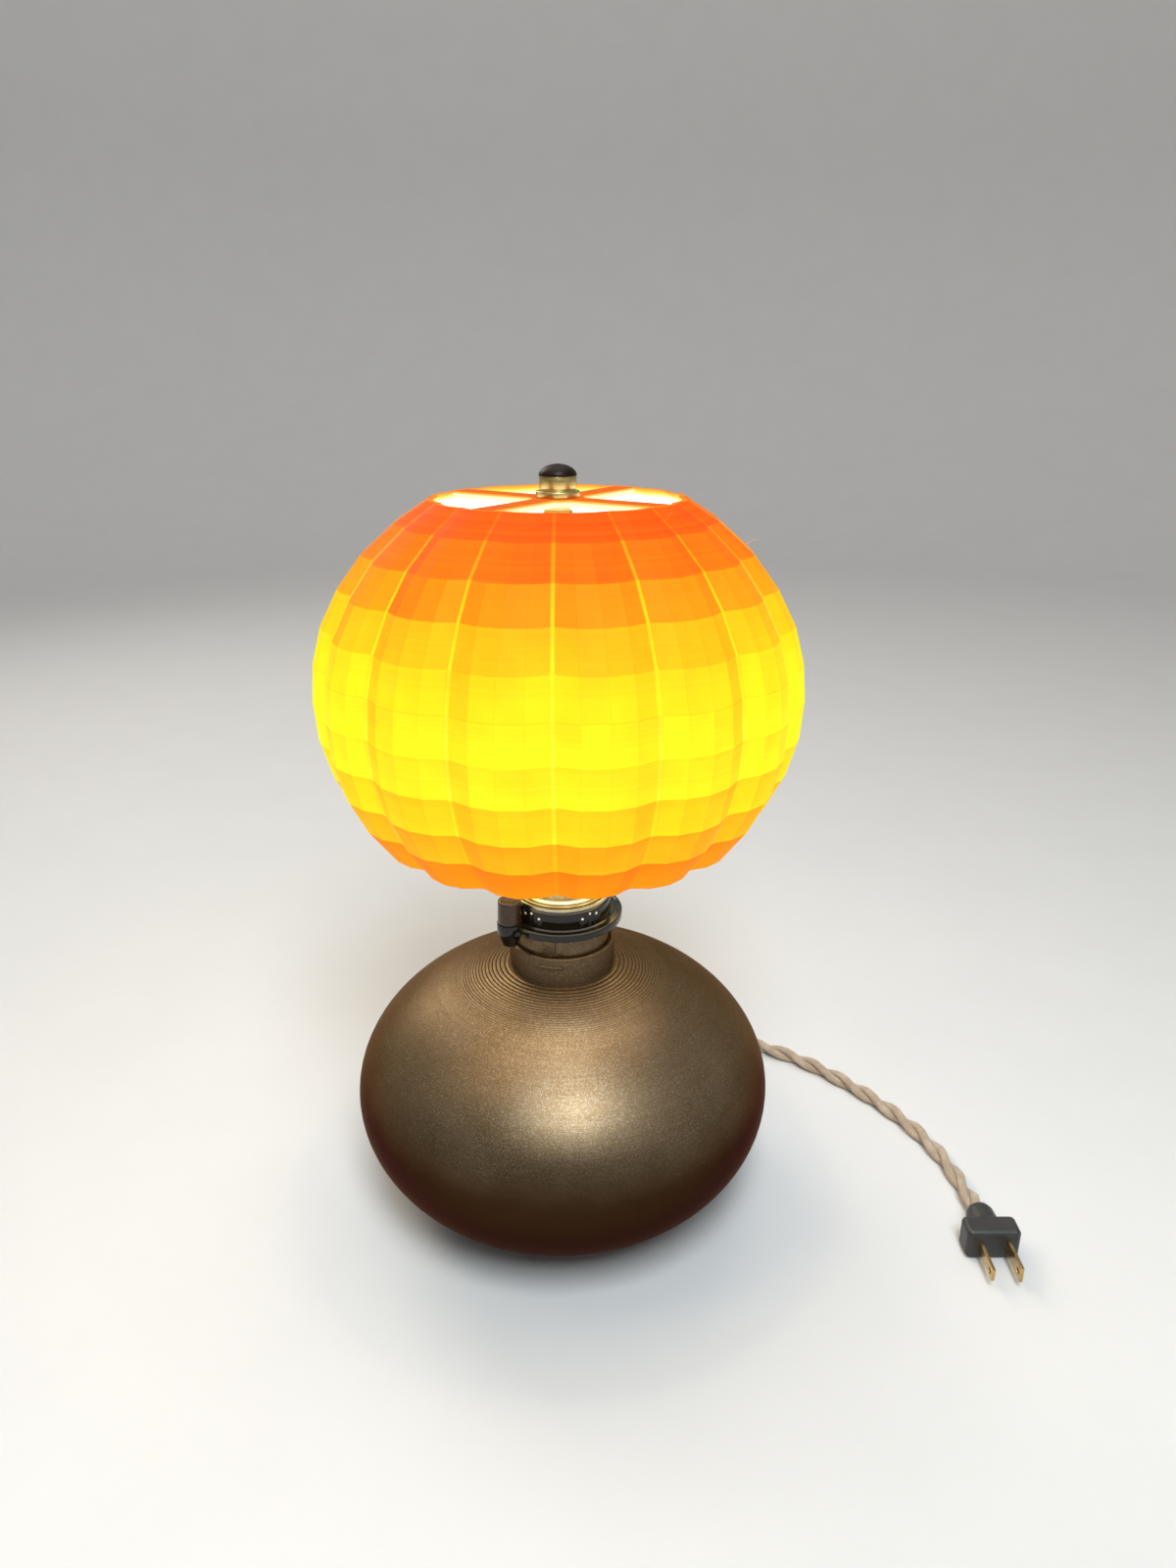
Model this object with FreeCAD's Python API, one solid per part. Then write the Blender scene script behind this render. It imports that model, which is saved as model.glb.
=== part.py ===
import FreeCAD, Part
import math, os

# Table lamp: an ellipsoid base with a neck, a bulb in a harp, and a fluted, facetted globe shade.
# Frame: origin on the table at the centre of the felt pad, +Z up, front is -Y, +X is the
# viewer's right. Millimetres and degrees; azimuths run from the front (-Y) towards +X.
# Endings: _R radius, _T thickness, _W width, _H height, _AZ azimuth.
# Outlines that are turned about Z are lists of (radius, height).
Vec = FreeCAD.Vector
UP = Vec(0, 0, 1)
SIDES = (-1, 1)                           # left, right

# ---- base ----
PAD_R, PAD_T = 41.0, 2.0                  # felt pad
BASE_HALF_W, BASE_HALF_H, BASE_MID = 99.0, 66.0, 61.0   # ellipsoid and its centre's height
BASE_WALL = 3.0
NECK_R, NECK_BORE_R, NECK_TOP = 24.6, 22.05, 138.8
CUP_BOTTOM, CUP_TOP, CUP_R = 113.0, 116.0, 25.0         # floor under the lamp holder
PIPE_HOLE_R = 5.3
COVER_R, COVER_T = 38.0, 3.0              # bottom cover
COVER_SCREWS, SCREW_CIRCLE_R = 3, 34.0
LEDGE_R, LEDGE_T = 30.0, 3.0              # inward ledge that the cover is screwed to
# ---- cord and plug ----
CORD_AZ, CORD_DZ = 150.0, -35.0           # exit at the back right, height from the base's centre
CORD_R, GROMMET_R = 4.0, 6.0
CORD_ON_TABLE = [Vec(62, 101, 6.0), Vec(88, 112, 4.35), Vec(121, 103, 4.2), Vec(158, 72, 4.15),
                 Vec(185, 34, 4.2), Vec(197, 2, 4.35), Vec(200, -22, 5.4), Vec(200, -38, 8.0)]
PLUG_FACE = 21.5                          # from the cord's end to the plug's front face
PLUG_W, PLUG_DEPTH, PLUG_H = 25, 12, 15.6
BLADE_X, BLADE_T, BLADE_L, BLADE_SEAT = 6.35, 1.5, 23.5, 6.0
# ---- lamp holder ----
SLEEVE_R, SLEEVE_BORE_R = NECK_BORE_R - 0.1, 19.4
SLEEVE_BOTTOM, SLEEVE_TOP = CUP_TOP + 0.05, 149.0
SLEEVE_FLOOR_T = 2.95
CATCH_AZ, CATCH_MID, CATCH_W, CATCH_H = -11.7, 134.4, 11.4, 2.0
PANEL_AZ, PANEL_W, PANEL_DEPTH = -14.1, 6.6, 0.45
PIPE_R = 4.9
THREADED_R = PIPE_R + 0.05                # bore of what sits on the pipe
WASHER_BOTTOM = 112.1
NUT_FLATS, NUT_H = 14.0, 2.45             # width across flats, upper nut's height
HOLDER_R, HOLDER_BOTTOM, HOLDER_FLOOR = 16.4, 129.0, 131.2
THREAD_PITCH, THREAD_STEPS = 3.63, 6      # steps are outline points per turn
FLANGE_R, FLANGE_BOTTOM, FLANGE_TOP = 28.0, SLEEVE_TOP + 0.1, 153.0
KNOB_AZ, KNOB_OFFSET, KNOB_R = -53.5, 28.6, 5.6
KNOB_BOTTOM, KNOB_TOP = 154.4, 165.2
BAND_R, BAND_BORE_R, BAND_BOTTOM, BAND_TOP = 22.7, 19.05, FLANGE_TOP + 0.05, 161.2
DOT_R = 0.62
DOTS = ((-44.5, 158.0), (-35.2, 159.0), (-25.3, 157.2),   # azimuth, height
        (25.3, 157.2), (35.2, 159.0), (44.5, 158.0))
SADDLE_R, SADDLE_BORE_R, SADDLE_T = 22.3, 18.95, 1.4
# ---- bulb ----
BULB_SHELL_TOP = 158.6
GLOBE_R, GLOBE_MID, GLOBE_WALL = 30, 218, 1.3
LED_BOARD_BOTTOM, LED_BOARD_TOP = 196.4, 198.0
LED_COUNT, LED_CIRCLE_R, LED_W, LED_H = 10, 15.0, 3.0, 0.8
# ---- harp and stud ----
HARP_R = 1.6
LEG_X, LEG_TILT = 20.6, 20.0              # leg's foot, lean away from the axis
LEG_START, LEG_END = 8.15, 30.0           # straight part, measured along the leg
HUB_BOTTOM, HUB_TOP, HUB_R, HUB_BORE_R = 328.1, 333.75, 6.0, 2.55
HARP_BOW = ((40.5, 210), (46.5, 236), (46.0, 262), (38.5, 290), (24.0, 314.2),
            (4.6, HUB_BOTTOM + 2.7))      # distance from the axis, height
STUD_R, STUD_TOP = 3.1, 348.2
# ---- shade ----
SHADE_WALL = 1.3
# rings of the facetted shell, top lip first: crest radius, height
RINGS = ((53.0, 338.6), (66.4, 330.0), (80.3, 318.0), (90.4, 304.8),
         (98.3, 289.9), (102.6, 274.2), (104.0, 258.2), (102.8, 242.2),
         (98.5, 226.4), (91.3, 212.0), (79.8, 196.5))
LOBES, FACETS, SEAM_AZ = 16, 4, 0.0
LOBE_SEAM = 0.955                         # seam radius as a share of the crest's
SPIDER_W, SPIDER_T, SPIDER_HUB_R, SPIDER_BORE_R = 10.0, 3.0, 11.0, 3.35
SPIDER_AZ, SPIDER_REACH = 56.25, 53.5     # first arm, arm length before trimming

os.makedirs("parts", exist_ok=True)


def solid_of(*shapes):
    """The only solid in the shapes, or a compound of all their solids."""
    solids = [solid for shape in shapes for solid in shape.Solids]
    return solids[0] if len(solids) == 1 else Part.makeCompound(solids)


def save(name, *shapes):
    solid_of(*shapes).exportStep("parts/%s.step" % name)


def cylinder(radius, bottom, top, at=Vec(0, 0, 0)):
    """Upright cylinder over the x and y of at."""
    return Part.makeCylinder(radius, top - bottom, Vec(at.x, at.y, bottom))


def tube(radius, bore, bottom, top):
    return cylinder(radius, bottom, top).cut(cylinder(bore, bottom - 1, top + 1))


def box(size, x, y, bottom):
    """Box centred on x and y."""
    return Part.makeBox(*size, Vec(x - size[0] / 2, y - size[1] / 2, bottom))


def radial_box(azimuth, inner, outer, width, bottom, top):
    """Box between two distances from the axis, square to the azimuth."""
    block = box((width, outer - inner, top - bottom), 0, -(inner + outer) / 2, bottom)
    block.rotate(Vec(0, 0, 0), UP, azimuth)
    return block


def polar(azimuth, radius, z=0.0):
    angle = math.radians(azimuth)
    return Vec(radius * math.sin(angle), -radius * math.cos(angle), z)


def closed(points):
    return Part.makePolygon(points + [points[0]])


def turn(points, lift=0.0):
    """Solid of revolution about Z from a closed outline, raised by lift."""
    face = Part.Face(closed([Vec(r, 0, lift + z) for r, z in points]))
    return face.revolve(Vec(0, 0, 0), UP, 360)


def turn_edges(edges):
    return Part.Face(Part.Wire(edges)).revolve(Vec(0, 0, 0), UP, 360)


def lines(*points):
    """Straight edges from each (radius, height) to the next."""
    ends = [Vec(r, 0, z) for r, z in points]
    return [Part.LineSegment(start, end).toShape() for start, end in zip(ends, ends[1:])]


def spline(points, **end_tangents):
    curve = Part.BSplineCurve()
    curve.interpolate([Vec(r, 0, z) for r, z in points], **end_tangents)
    return curve.toShape()


def along(shape, at, axis):
    """Moves a shape modelled on +Z so that +Z becomes axis and the origin becomes at."""
    moved = shape.copy()
    moved.Placement = FreeCAD.Placement(at, FreeCAD.Rotation(UP, axis))
    return moved


def smooth_rod(points, radius, first_tangent, last_tangent):
    """Round rod along a smooth curve, made of two tangent arcs from each point to the next."""
    curve = Part.BSplineCurve()
    curve.interpolate(points, InitialTangent=first_tangent, FinalTangent=last_tangent)
    tangents = [curve.tangent(curve.parameter(point))[0].normalize() for point in points]
    rod = None
    for start, end, leave, arrive in zip(points, points[1:], tangents, tangents[1:]):
        chord = end - start
        if chord.cross(leave).Length < 1e-6 and chord.cross(arrive).Length < 1e-6:
            pieces = [(start, leave, end)]
        else:
            # equal tangent lengths at both ends make the two arcs meet smoothly
            bend = 2 * (leave.dot(arrive) - 1)
            reach = chord.dot(leave + arrive)
            if abs(bend) < 1e-9:
                length = chord.dot(chord) / (2 * reach)
            else:
                length = (reach - math.sqrt(reach * reach - bend * chord.dot(chord))) / bend
            corner_1, corner_2 = start + leave * length, end - arrive * length
            middle = (corner_1 + corner_2) * 0.5
            pieces = [(start, leave, middle), (middle, (corner_2 - corner_1).normalize(), end)]
        for begin, tangent, finish in pieces:
            disc = Part.Face(Part.Wire([Part.makeCircle(radius, begin, tangent)]))
            span = finish - begin
            axis = tangent.cross(span)
            if axis.Length < 1e-6 * span.Length * span.Length:
                piece = disc.extrude(span)
            else:
                axis.normalize()
                inward = axis.cross(tangent).normalize()
                arc_r = span.dot(span) / (2 * span.dot(inward))
                half_turn = math.asin(min(1.0, span.Length / (2 * arc_r)))
                piece = disc.revolve(begin + inward * arc_r, axis, 2 * math.degrees(half_turn))
            rod = piece if rod is None else rod.fuse(piece)
    return solid_of(rod.removeSplitter())


# ================= base =================
# The ellipsoid helpers take an inset, 0 for the outside and BASE_WALL for the inside.
def ellipsoid_r(z, inset=0):
    return (BASE_HALF_W - inset) * math.sqrt(1 - ((z - BASE_MID) / (BASE_HALF_H - inset)) ** 2)


def ellipsoid_z(radius, inset=0):
    """Height of the upper half at a radius."""
    share = radius / (BASE_HALF_W - inset)
    return BASE_MID + (BASE_HALF_H - inset) * math.sqrt(1 - share ** 2)


def ellipsoid_arc(bottom, top, inset=0):
    half_w, half_h = BASE_HALF_W - inset, BASE_HALF_H - inset
    ellipse = Part.Ellipse(Vec(half_w, 0, BASE_MID), Vec(0, 0, BASE_MID + half_h),
                           Vec(0, 0, BASE_MID))
    angles = [math.asin((z - BASE_MID) / half_h) for z in (bottom, top)]
    return Part.ArcOfEllipse(ellipse, *angles).toShape()


def catch_box(inner, outer, extra_w=0.0, gap=0.0):
    """Block of the sleeve's catch, or its window with extra width and a gap above and below."""
    reach = CATCH_H / 2 + gap
    return radial_box(CATCH_AZ, inner, outer, CATCH_W + extra_w,
                      CATCH_MID - reach, CATCH_MID + reach)


neck_foot = ellipsoid_z(NECK_R)
ledge_bottom = PAD_T + COVER_T
ledge_top = ledge_bottom + LEDGE_T
cup_foot = ellipsoid_z(CUP_R, BASE_WALL)
recess_r = COVER_R + 0.15
base = turn_edges(
    [ellipsoid_arc(PAD_T, neck_foot)]
    + lines((NECK_R, neck_foot), (NECK_R, NECK_TOP - 0.5), (NECK_R - 0.5, NECK_TOP),
            (NECK_BORE_R, NECK_TOP), (NECK_BORE_R, CUP_TOP), (PIPE_HOLE_R, CUP_TOP),
            (PIPE_HOLE_R, CUP_BOTTOM), (CUP_R, CUP_BOTTOM), (CUP_R, cup_foot))
    + [ellipsoid_arc(ledge_top, cup_foot, BASE_WALL)]
    + lines((ellipsoid_r(ledge_top, BASE_WALL), ledge_top), (LEDGE_R, ledge_top),
            (LEDGE_R, ledge_bottom), (recess_r, ledge_bottom), (recess_r, PAD_T),
            (ellipsoid_r(PAD_T), PAD_T)))
# window for the holder's catch, at the neck's front
base = base.cut(catch_box(NECK_BORE_R - 1, NECK_R + 1, 0.5, 0.2))
# cord hole, square to the surface
exit_z = BASE_MID + CORD_DZ
exit_r = ellipsoid_r(exit_z)
slope = Vec(exit_r / BASE_HALF_W ** 2, 0, CORD_DZ / BASE_HALF_H ** 2).normalize()
outward = polar(CORD_AZ, 1)
cord_axis = (outward * slope.x + Vec(0, 0, slope.z)).normalize()
cord_exit = outward * exit_r + Vec(0, 0, exit_z)
base = base.cut(along(cylinder(GROMMET_R, -14, 10), cord_exit, cord_axis))
screw_places = [polar(360 / COVER_SCREWS * i, SCREW_CIRCLE_R) for i in range(COVER_SCREWS)]
for place in screw_places:
    base = base.cut(cylinder(1.25, ledge_bottom - 1, ledge_bottom + 4, place))
save("base_shell", base)

save("felt_pad", turn([(0, 0), (PAD_R - 0.4, 0), (PAD_R, 0.4), (PAD_R, PAD_T), (0, PAD_T)]))

# cover with countersunk holes, and its cross-slotted screws
cover = cylinder(COVER_R, PAD_T, ledge_bottom)
screws = []
for place in screw_places:
    x, y = place.x, place.y
    sink = Part.makeCone(3.1, 1.7, 1.5, Vec(x, y, PAD_T))
    cover = cover.cut(sink.fuse(cylinder(1.7, PAD_T - 1, ledge_bottom + 1, place)))
    head = Part.makeCone(3.0, 1.4, 1.5, Vec(x, y, PAD_T))
    slot = box((4.2, 0.7, 0.6), x, y, PAD_T).fuse(box((0.7, 4.2, 0.6), x, y, PAD_T))
    screw = head.fuse(cylinder(1.2, PAD_T + 1.4, PAD_T + 9.5, place))
    screws.append(screw.cut(slot).removeSplitter())
save("bottom_cover", cover)
save("cover_screws", *screws)

# ================= cord =================
# grommet: a sleeve with a flange on each side of the wall, trimmed by the base
grommet = cylinder(GROMMET_R - 0.05, -6.5, 2.5).fuse(cylinder(8.2, -0.4, 1.8))
grommet = grommet.fuse(cylinder(8.0, -5.4, -3.4)).cut(cylinder(CORD_R + 0.1, -15, 15))
grommet = along(grommet, cord_exit, cord_axis).cut(base)
save("cord_grommet", max(grommet.Solids, key=lambda solid: solid.Volume))

cord_end = cord_exit - cord_axis * 26     # inside the base
cord_points = [cord_end, cord_exit - cord_axis * 10, cord_exit, cord_exit + cord_axis * 9]
save("power_cord", smooth_rod(cord_points + CORD_ON_TABLE, CORD_R, cord_axis, Vec(0, -1, 0)))
clamp = cylinder(6.8, -22, -15).cut(cylinder(CORD_R + 0.3, -23, -14))
save("cord_clamp", along(clamp, cord_exit, cord_axis))

# plug with two flat blades, lying on the table and pointing to the front
plug_x, plug_y, plug_z = CORD_ON_TABLE[-1]
face_y = plug_y - PLUG_FACE
grip_back = Vec(plug_x, plug_y + 1.0, plug_z)
grip = along(turn([(0, 0), (5.6, 0), (6.6, 2.5), (7.2, 12), (0, 12)]), grip_back, Vec(0, -1, 0))
block = box((PLUG_W, PLUG_DEPTH, PLUG_H), plug_x, face_y + PLUG_DEPTH / 2, 0.25)
block = block.makeFillet(2.6, block.Edges)
plug = grip.fuse(block).removeSplitter()
plug = plug.cut(along(cylinder(CORD_R + 0.05, -1, 5), grip_back, Vec(0, -1, 0)))
blades = []
for side, height in ((-1, 6.35), (1, 7.9)):
    x, bottom = plug_x + side * BLADE_X, plug_z - height / 2
    plug = plug.cut(box((BLADE_T, BLADE_SEAT, height), x, face_y + BLADE_SEAT / 2, bottom))
    blade = box((BLADE_T, BLADE_L, height), x, face_y + BLADE_SEAT - BLADE_L / 2, bottom)
    hole = Part.makeCylinder(1.5, 4, Vec(x - 1.75, plug_y - 36.0, plug_z), Vec(1, 0, 0))
    blades.append(blade.cut(hole))
save("plug_body", plug)
save("plug_blades", *blades)

# ================= lamp holder in the neck =================
floor_top = SLEEVE_BOTTOM + SLEEVE_FLOOR_T
sleeve = tube(SLEEVE_R, SLEEVE_BORE_R, SLEEVE_BOTTOM, SLEEVE_TOP)
sleeve = sleeve.fuse(tube(SLEEVE_R, PIPE_HOLE_R, SLEEVE_BOTTOM, floor_top)).removeSplitter()
sleeve = sleeve.cut(catch_box(SLEEVE_BORE_R - 1, SLEEVE_R + 1, 0.4, 0.15))


def panel_block(azimuth, bottom, top):
    skin = tube(SLEEVE_R + 1, SLEEVE_R - PANEL_DEPTH, bottom, top)
    return skin.common(radial_box(azimuth, 15, 30, PANEL_W, bottom, top))


# shallow L-shaped line above the neck's rim: one block less a shifted one
panel = panel_block(PANEL_AZ, 139.6, 146.4)
sleeve = sleeve.cut(panel.cut(panel_block(PANEL_AZ - 1.6, 140.2, 147.4)))
save("neck_sleeve", sleeve)
save("sleeve_catch", catch_box(20.4, 26.5).common(cylinder(NECK_R + 0.35, 130, 140)))


def hex_nut(bottom, top):
    corner = NUT_FLATS / math.sqrt(3)
    angles = [math.radians(60 * i + 30) for i in range(6)]
    points = [Vec(corner * math.cos(angle), corner * math.sin(angle), bottom)
              for angle in angles]
    nut = Part.Face(closed(points)).extrude(Vec(0, 0, top - bottom))
    chamfers = turn([(0, bottom), (corner - 0.9, bottom), (corner, bottom + 0.6),
                     (corner, top - 0.6), (corner - 0.9, top), (0, top)])
    return nut.common(chamfers).cut(cylinder(THREADED_R, bottom - 1, top + 1))


cap_bottom = floor_top + NUT_H
save("lamp_pipe", tube(PIPE_R, 3.2, 100.0, 126.0))
save("pipe_nut_lower", hex_nut(106.6, WASHER_BOTTOM))
save("lock_washer", tube(9.0, 5.0, WASHER_BOTTOM, CUP_BOTTOM))
save("pipe_nut_upper", hex_nut(floor_top, cap_bottom))

save("holder_cap", turn([
    (THREADED_R, cap_bottom), (12.0, cap_bottom), (HOLDER_R, cap_bottom + 3.6),
    (HOLDER_R, HOLDER_BOTTOM), (14.6, HOLDER_BOTTOM), (14.6, cap_bottom + 5.2),
    (8.0, cap_bottom + 3.2), (8.0, cap_bottom + 4.6), (THREADED_R, cap_bottom + 4.6)]))

holder = turn([(0, HOLDER_BOTTOM), (HOLDER_R, HOLDER_BOTTOM), (HOLDER_R, 147.6), (18.9, 149.4),
               (18.9, 163.0), (18.3, 163.8), (14.5, 163.8), (14.5, HOLDER_FLOOR),
               (0, HOLDER_FLOOR)])
for x, radius in ((-9.0, 1.5), (9.0, 1.5), (0, 1.4)):
    holder = holder.cut(cylinder(radius, 128, 133, Vec(x, 0, 0)))
save("holder_body", holder)


def thread(root, depth, bottom, turns):
    """Outline points of a rolled thread, drawn as rings."""
    return [(root + depth * 0.5 * (1 - math.cos(2 * math.pi * i / THREAD_STEPS)),
             bottom + THREAD_PITCH * i / THREAD_STEPS)
            for i in range(turns * THREAD_STEPS + 1)]


SHELL_R, SHELL_T = 13.32, 0.4
shell_inside = [(SHELL_R, 132.0)] + thread(SHELL_R, 0.62, 136.0, 6)
save("screw_shell", turn(shell_inside + [(r + SHELL_T, z) for r, z in reversed(shell_inside)]))

contact = box((14, 6.0, 0.1), 0, 0, HOLDER_FLOOR).fuse(cylinder(1.35, 128.6, 131.25))
save("centre_contact", contact.removeSplitter())

terminals = []
for side in SIDES:
    head = Part.makeCylinder(2.6, 1.5, Vec(side * 16.45, 0, 126.2), Vec(side, 0, 0))
    terminals.append(head.cut(box((1.0, 6.0, 0.8), side * 17.4, 0, 125.8)))
save("terminal_screws", *terminals)

# flange with the pod of the rotary switch at the front left
knob_at = polar(KNOB_AZ, KNOB_OFFSET)
flange = turn([
    (19.0, FLANGE_BOTTOM), (FLANGE_R - 0.5, FLANGE_BOTTOM), (FLANGE_R, FLANGE_BOTTOM + 0.5),
    (FLANGE_R, FLANGE_TOP - 0.4), (FLANGE_R - 0.4, FLANGE_TOP), (FLANGE_R - 1.3, FLANGE_TOP),
    (FLANGE_R - 1.8, FLANGE_TOP - 0.6), (24.2, FLANGE_TOP - 0.6), (23.6, FLANGE_TOP),
    (19.0, FLANGE_TOP)])
pod_top = cylinder(KNOB_R + 0.3, FLANGE_BOTTOM, KNOB_BOTTOM - 0.25, knob_at)
pod = Part.makeCone(3.6, KNOB_R + 0.1, 6.0, Vec(knob_at.x, knob_at.y, FLANGE_BOTTOM - 6.0))
flange = flange.fuse(pod_top.fuse(pod)).removeSplitter()
# scallop beside the pod, in the flange's lower edge
flange = flange.cut(cylinder(3.9, FLANGE_BOTTOM - 1, FLANGE_BOTTOM + 2.6, polar(-37.0, 29.6)))
# switch pocket and shaft hole, then room for the holder, band and sleeve
flange = flange.cut(cylinder(3.2, FLANGE_BOTTOM - 4.6, FLANGE_TOP - 1.5, knob_at))
flange = flange.cut(cylinder(2.14, FLANGE_BOTTOM - 1, KNOB_BOTTOM + 1, knob_at))
flange = flange.cut(cylinder(19.0, 120, 170))
flange = flange.cut(tube(BAND_R + 0.6, 10.0, FLANGE_TOP, KNOB_BOTTOM + 1))
flange = flange.cut(cylinder(SLEEVE_R + 0.05, 120, FLANGE_BOTTOM))
save("collar_flange", flange)

switch = cylinder(3.1, FLANGE_BOTTOM - 4.5, FLANGE_TOP - 1.6, knob_at)
save("rotary_switch", switch.cut(cylinder(2.12, FLANGE_BOTTOM - 2.5, FLANGE_TOP, knob_at)))
save("knob_shaft", cylinder(2.05, FLANGE_BOTTOM - 2.4, KNOB_TOP - 4.0, knob_at))

# tapered knob with a rounded top rim and a dished top
knob = Part.makeCone(KNOB_R, KNOB_R - 0.35, KNOB_TOP - KNOB_BOTTOM,
                     Vec(knob_at.x, knob_at.y, KNOB_BOTTOM))
knob = knob.makeFillet(0.7, [edge for edge in knob.Edges if edge.BoundBox.ZMin > KNOB_TOP - 0.1
                             and edge.BoundBox.XLength > 5])
knob = knob.cut(Part.makeSphere(14.0, Vec(knob_at.x, knob_at.y, KNOB_TOP + 13.2)))
knob = knob.cut(cylinder(2.08, KNOB_BOTTOM - 1, KNOB_TOP - 3.9, knob_at))
save("dimmer_knob", knob)

# ring with a tall and a short tab under each inset dot
band = turn([(BAND_BORE_R, BAND_BOTTOM), (BAND_R, BAND_BOTTOM), (BAND_R, BAND_TOP - 0.9),
             (BAND_R - 0.9, BAND_TOP), (BAND_BORE_R, BAND_TOP)])
for azimuth, z in DOTS:
    band = band.fuse(radial_box(azimuth, BAND_R - 0.6, BAND_R + 0.45, 2.2,
                                BAND_BOTTOM, BAND_BOTTOM + 2.4 - 0.05 * abs(azimuth)))
    band = band.fuse(radial_box(azimuth + math.copysign(4.6, azimuth), BAND_R - 0.6,
                                BAND_R + 0.25, 1.2, BAND_BOTTOM, BAND_BOTTOM + 1.5))
dots = []
for azimuth, z in DOTS:
    axis = polar(azimuth, 1.0)
    band = band.cut(Part.makeCylinder(DOT_R, 3, polar(azimuth, BAND_R - 0.7, z), axis))
    dot = Part.makeCylinder(DOT_R - 0.02, 1.2, polar(azimuth, BAND_R - 0.68, z), axis)
    dots.append(dot.common(cylinder(BAND_R + 0.1, 150, 165)))
save("retaining_ring", band.removeSplitter())
save("index_dots", *dots)

saddle_bottom = BAND_TOP + 0.05
saddle_top = saddle_bottom + SADDLE_T


def leg_axis(side):
    tilt = math.radians(LEG_TILT)
    return Vec(side * math.sin(tilt), 0, math.cos(tilt))


def on_leg(shape, side):
    return along(shape, Vec(side * LEG_X, 0, saddle_top), leg_axis(side))


saddle = tube(SADDLE_R, SADDLE_BORE_R, saddle_bottom, saddle_top)
for side in SIDES:
    saddle = saddle.fuse(on_leg(cylinder(1.5, -0.6, 8.0), side))
save("harp_saddle", saddle.removeSplitter())

clamp_ring = turn([
    (SADDLE_BORE_R, saddle_top + 0.02), (19.95, saddle_top + 0.02), (19.95, 164.3),
    (19.2, 165.2), (18.1, 165.2), (18.1, 164.6), (16.9, 164.6), (16.9, 165.4), (15.6, 165.4),
    (15.0, 164.8), (15.0, 163.85), (18.4, 163.85), (SADDLE_BORE_R, 163.2)])
for side in (1, -1):
    clamp_ring = clamp_ring.cut(on_leg(cylinder(1.6, -2, 12), side))
save("clamp_ring", clamp_ring)

# ================= bulb =================
save("bulb_screw_base", turn(
    [(8.0, 134.6), (11.0, 134.6), (12.45, 136.4)] + thread(12.45, 0.72, 137.2, 5)
    + [(12.45, BULB_SHELL_TOP), (11.9, BULB_SHELL_TOP), (11.9, 136.8), (10.7, 135.2),
       (8.0, 135.2)]))
save("bulb_insulator", turn([(3.0, 132.2), (6.0, 132.2), (9.8, 134.5), (7.9, 134.6),
                             (7.9, 136.0), (3.0, 136.0)]))
save("bulb_contact", turn([(0, 131.42), (2.4, 131.42), (4.2, 132.15), (2.9, 132.2),
                           (2.9, 134.8), (0, 134.8)]))

# housing stations: height, outer radius, inner radius
HOUSING = ((BULB_SHELL_TOP + 0.05, 12.5, 11.4), (164.5, 13.4, 12.2), (172.0, 15.6, 14.3),
           (181.0, 19.4, 18.1), (191.0, 23.9, 22.6), (200.0, 27.2, 25.7))
outside = [(outer, z) for z, outer, inner in HOUSING]
inside = [(inner, z) for z, outer, inner in HOUSING]
save("bulb_housing", turn_edges([
    spline(outside), *lines(outside[-1], inside[-1]),
    spline(inside), *lines(inside[0], outside[0])]))


def quarter_arc(radius):
    """Arc of the globe from its widest point to its top."""
    reach = radius * math.cos(math.pi / 4)
    return Part.Arc(Vec(radius, 0, GLOBE_MID), Vec(reach, 0, GLOBE_MID + reach),
                    Vec(0, 0, GLOBE_MID + radius)).toShape()


inner_r = GLOBE_R - GLOBE_WALL
outside = [(27.2, 200.05), (29.1, 208.0), (GLOBE_R, GLOBE_MID)]
inside = [(r - GLOBE_WALL, z) for r, z in outside]
save("bulb_globe", turn_edges([
    spline(outside), quarter_arc(GLOBE_R),
    *lines((0, GLOBE_MID + GLOBE_R), (0, GLOBE_MID + inner_r)),
    quarter_arc(inner_r), spline(inside), *lines(inside[0], outside[0])]))

save("led_board", cylinder(24.0, LED_BOARD_BOTTOM, LED_BOARD_TOP).cut(cylinder(1.6, 195, 199)))
led_places = [polar(360 / LED_COUNT * i, LED_CIRCLE_R) for i in range(LED_COUNT)]
save("led_chips", *[box((LED_W, LED_W, LED_H), place.x, place.y, LED_BOARD_TOP)
                    for place in led_places])
save("driver_board", box((17.0, 1.6, 33.0), 0, 0, 162.5))

# ================= harp =================
harp = turn([(HUB_BORE_R, HUB_BOTTOM), (HUB_R - 0.8, HUB_BOTTOM), (HUB_R, HUB_BOTTOM + 0.8),
             (HUB_R, HUB_TOP - 0.5), (HUB_R - 0.5, HUB_TOP), (HUB_BORE_R, HUB_TOP)])
for side in SIDES:
    axis = leg_axis(side)
    bow = [Vec(side * LEG_X, 0, saddle_top) + axis * LEG_END]
    bow += [Vec(side * x, 0, z) for x, z in HARP_BOW]
    harp = harp.fuse(smooth_rod(bow, HARP_R, axis, Vec(-side, 0, 0.25).normalize()))
    harp = harp.fuse(on_leg(cylinder(HARP_R, LEG_START, LEG_END), side))
harp = harp.cut(cylinder(HUB_BORE_R, HUB_BOTTOM - 3, HUB_TOP + 3))
save("harp", harp.removeSplitter())

for side, name in ((-1, "harp_sleeve_left"), (1, "harp_sleeve_right")):
    leg_sleeve = turn([(1.68, 2.8), (2.7, 2.8), (3.1, 3.4), (3.1, 13.6), (2.7, 14.2),
                       (1.68, 14.2)])
    save(name, on_leg(leg_sleeve, side))

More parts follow.
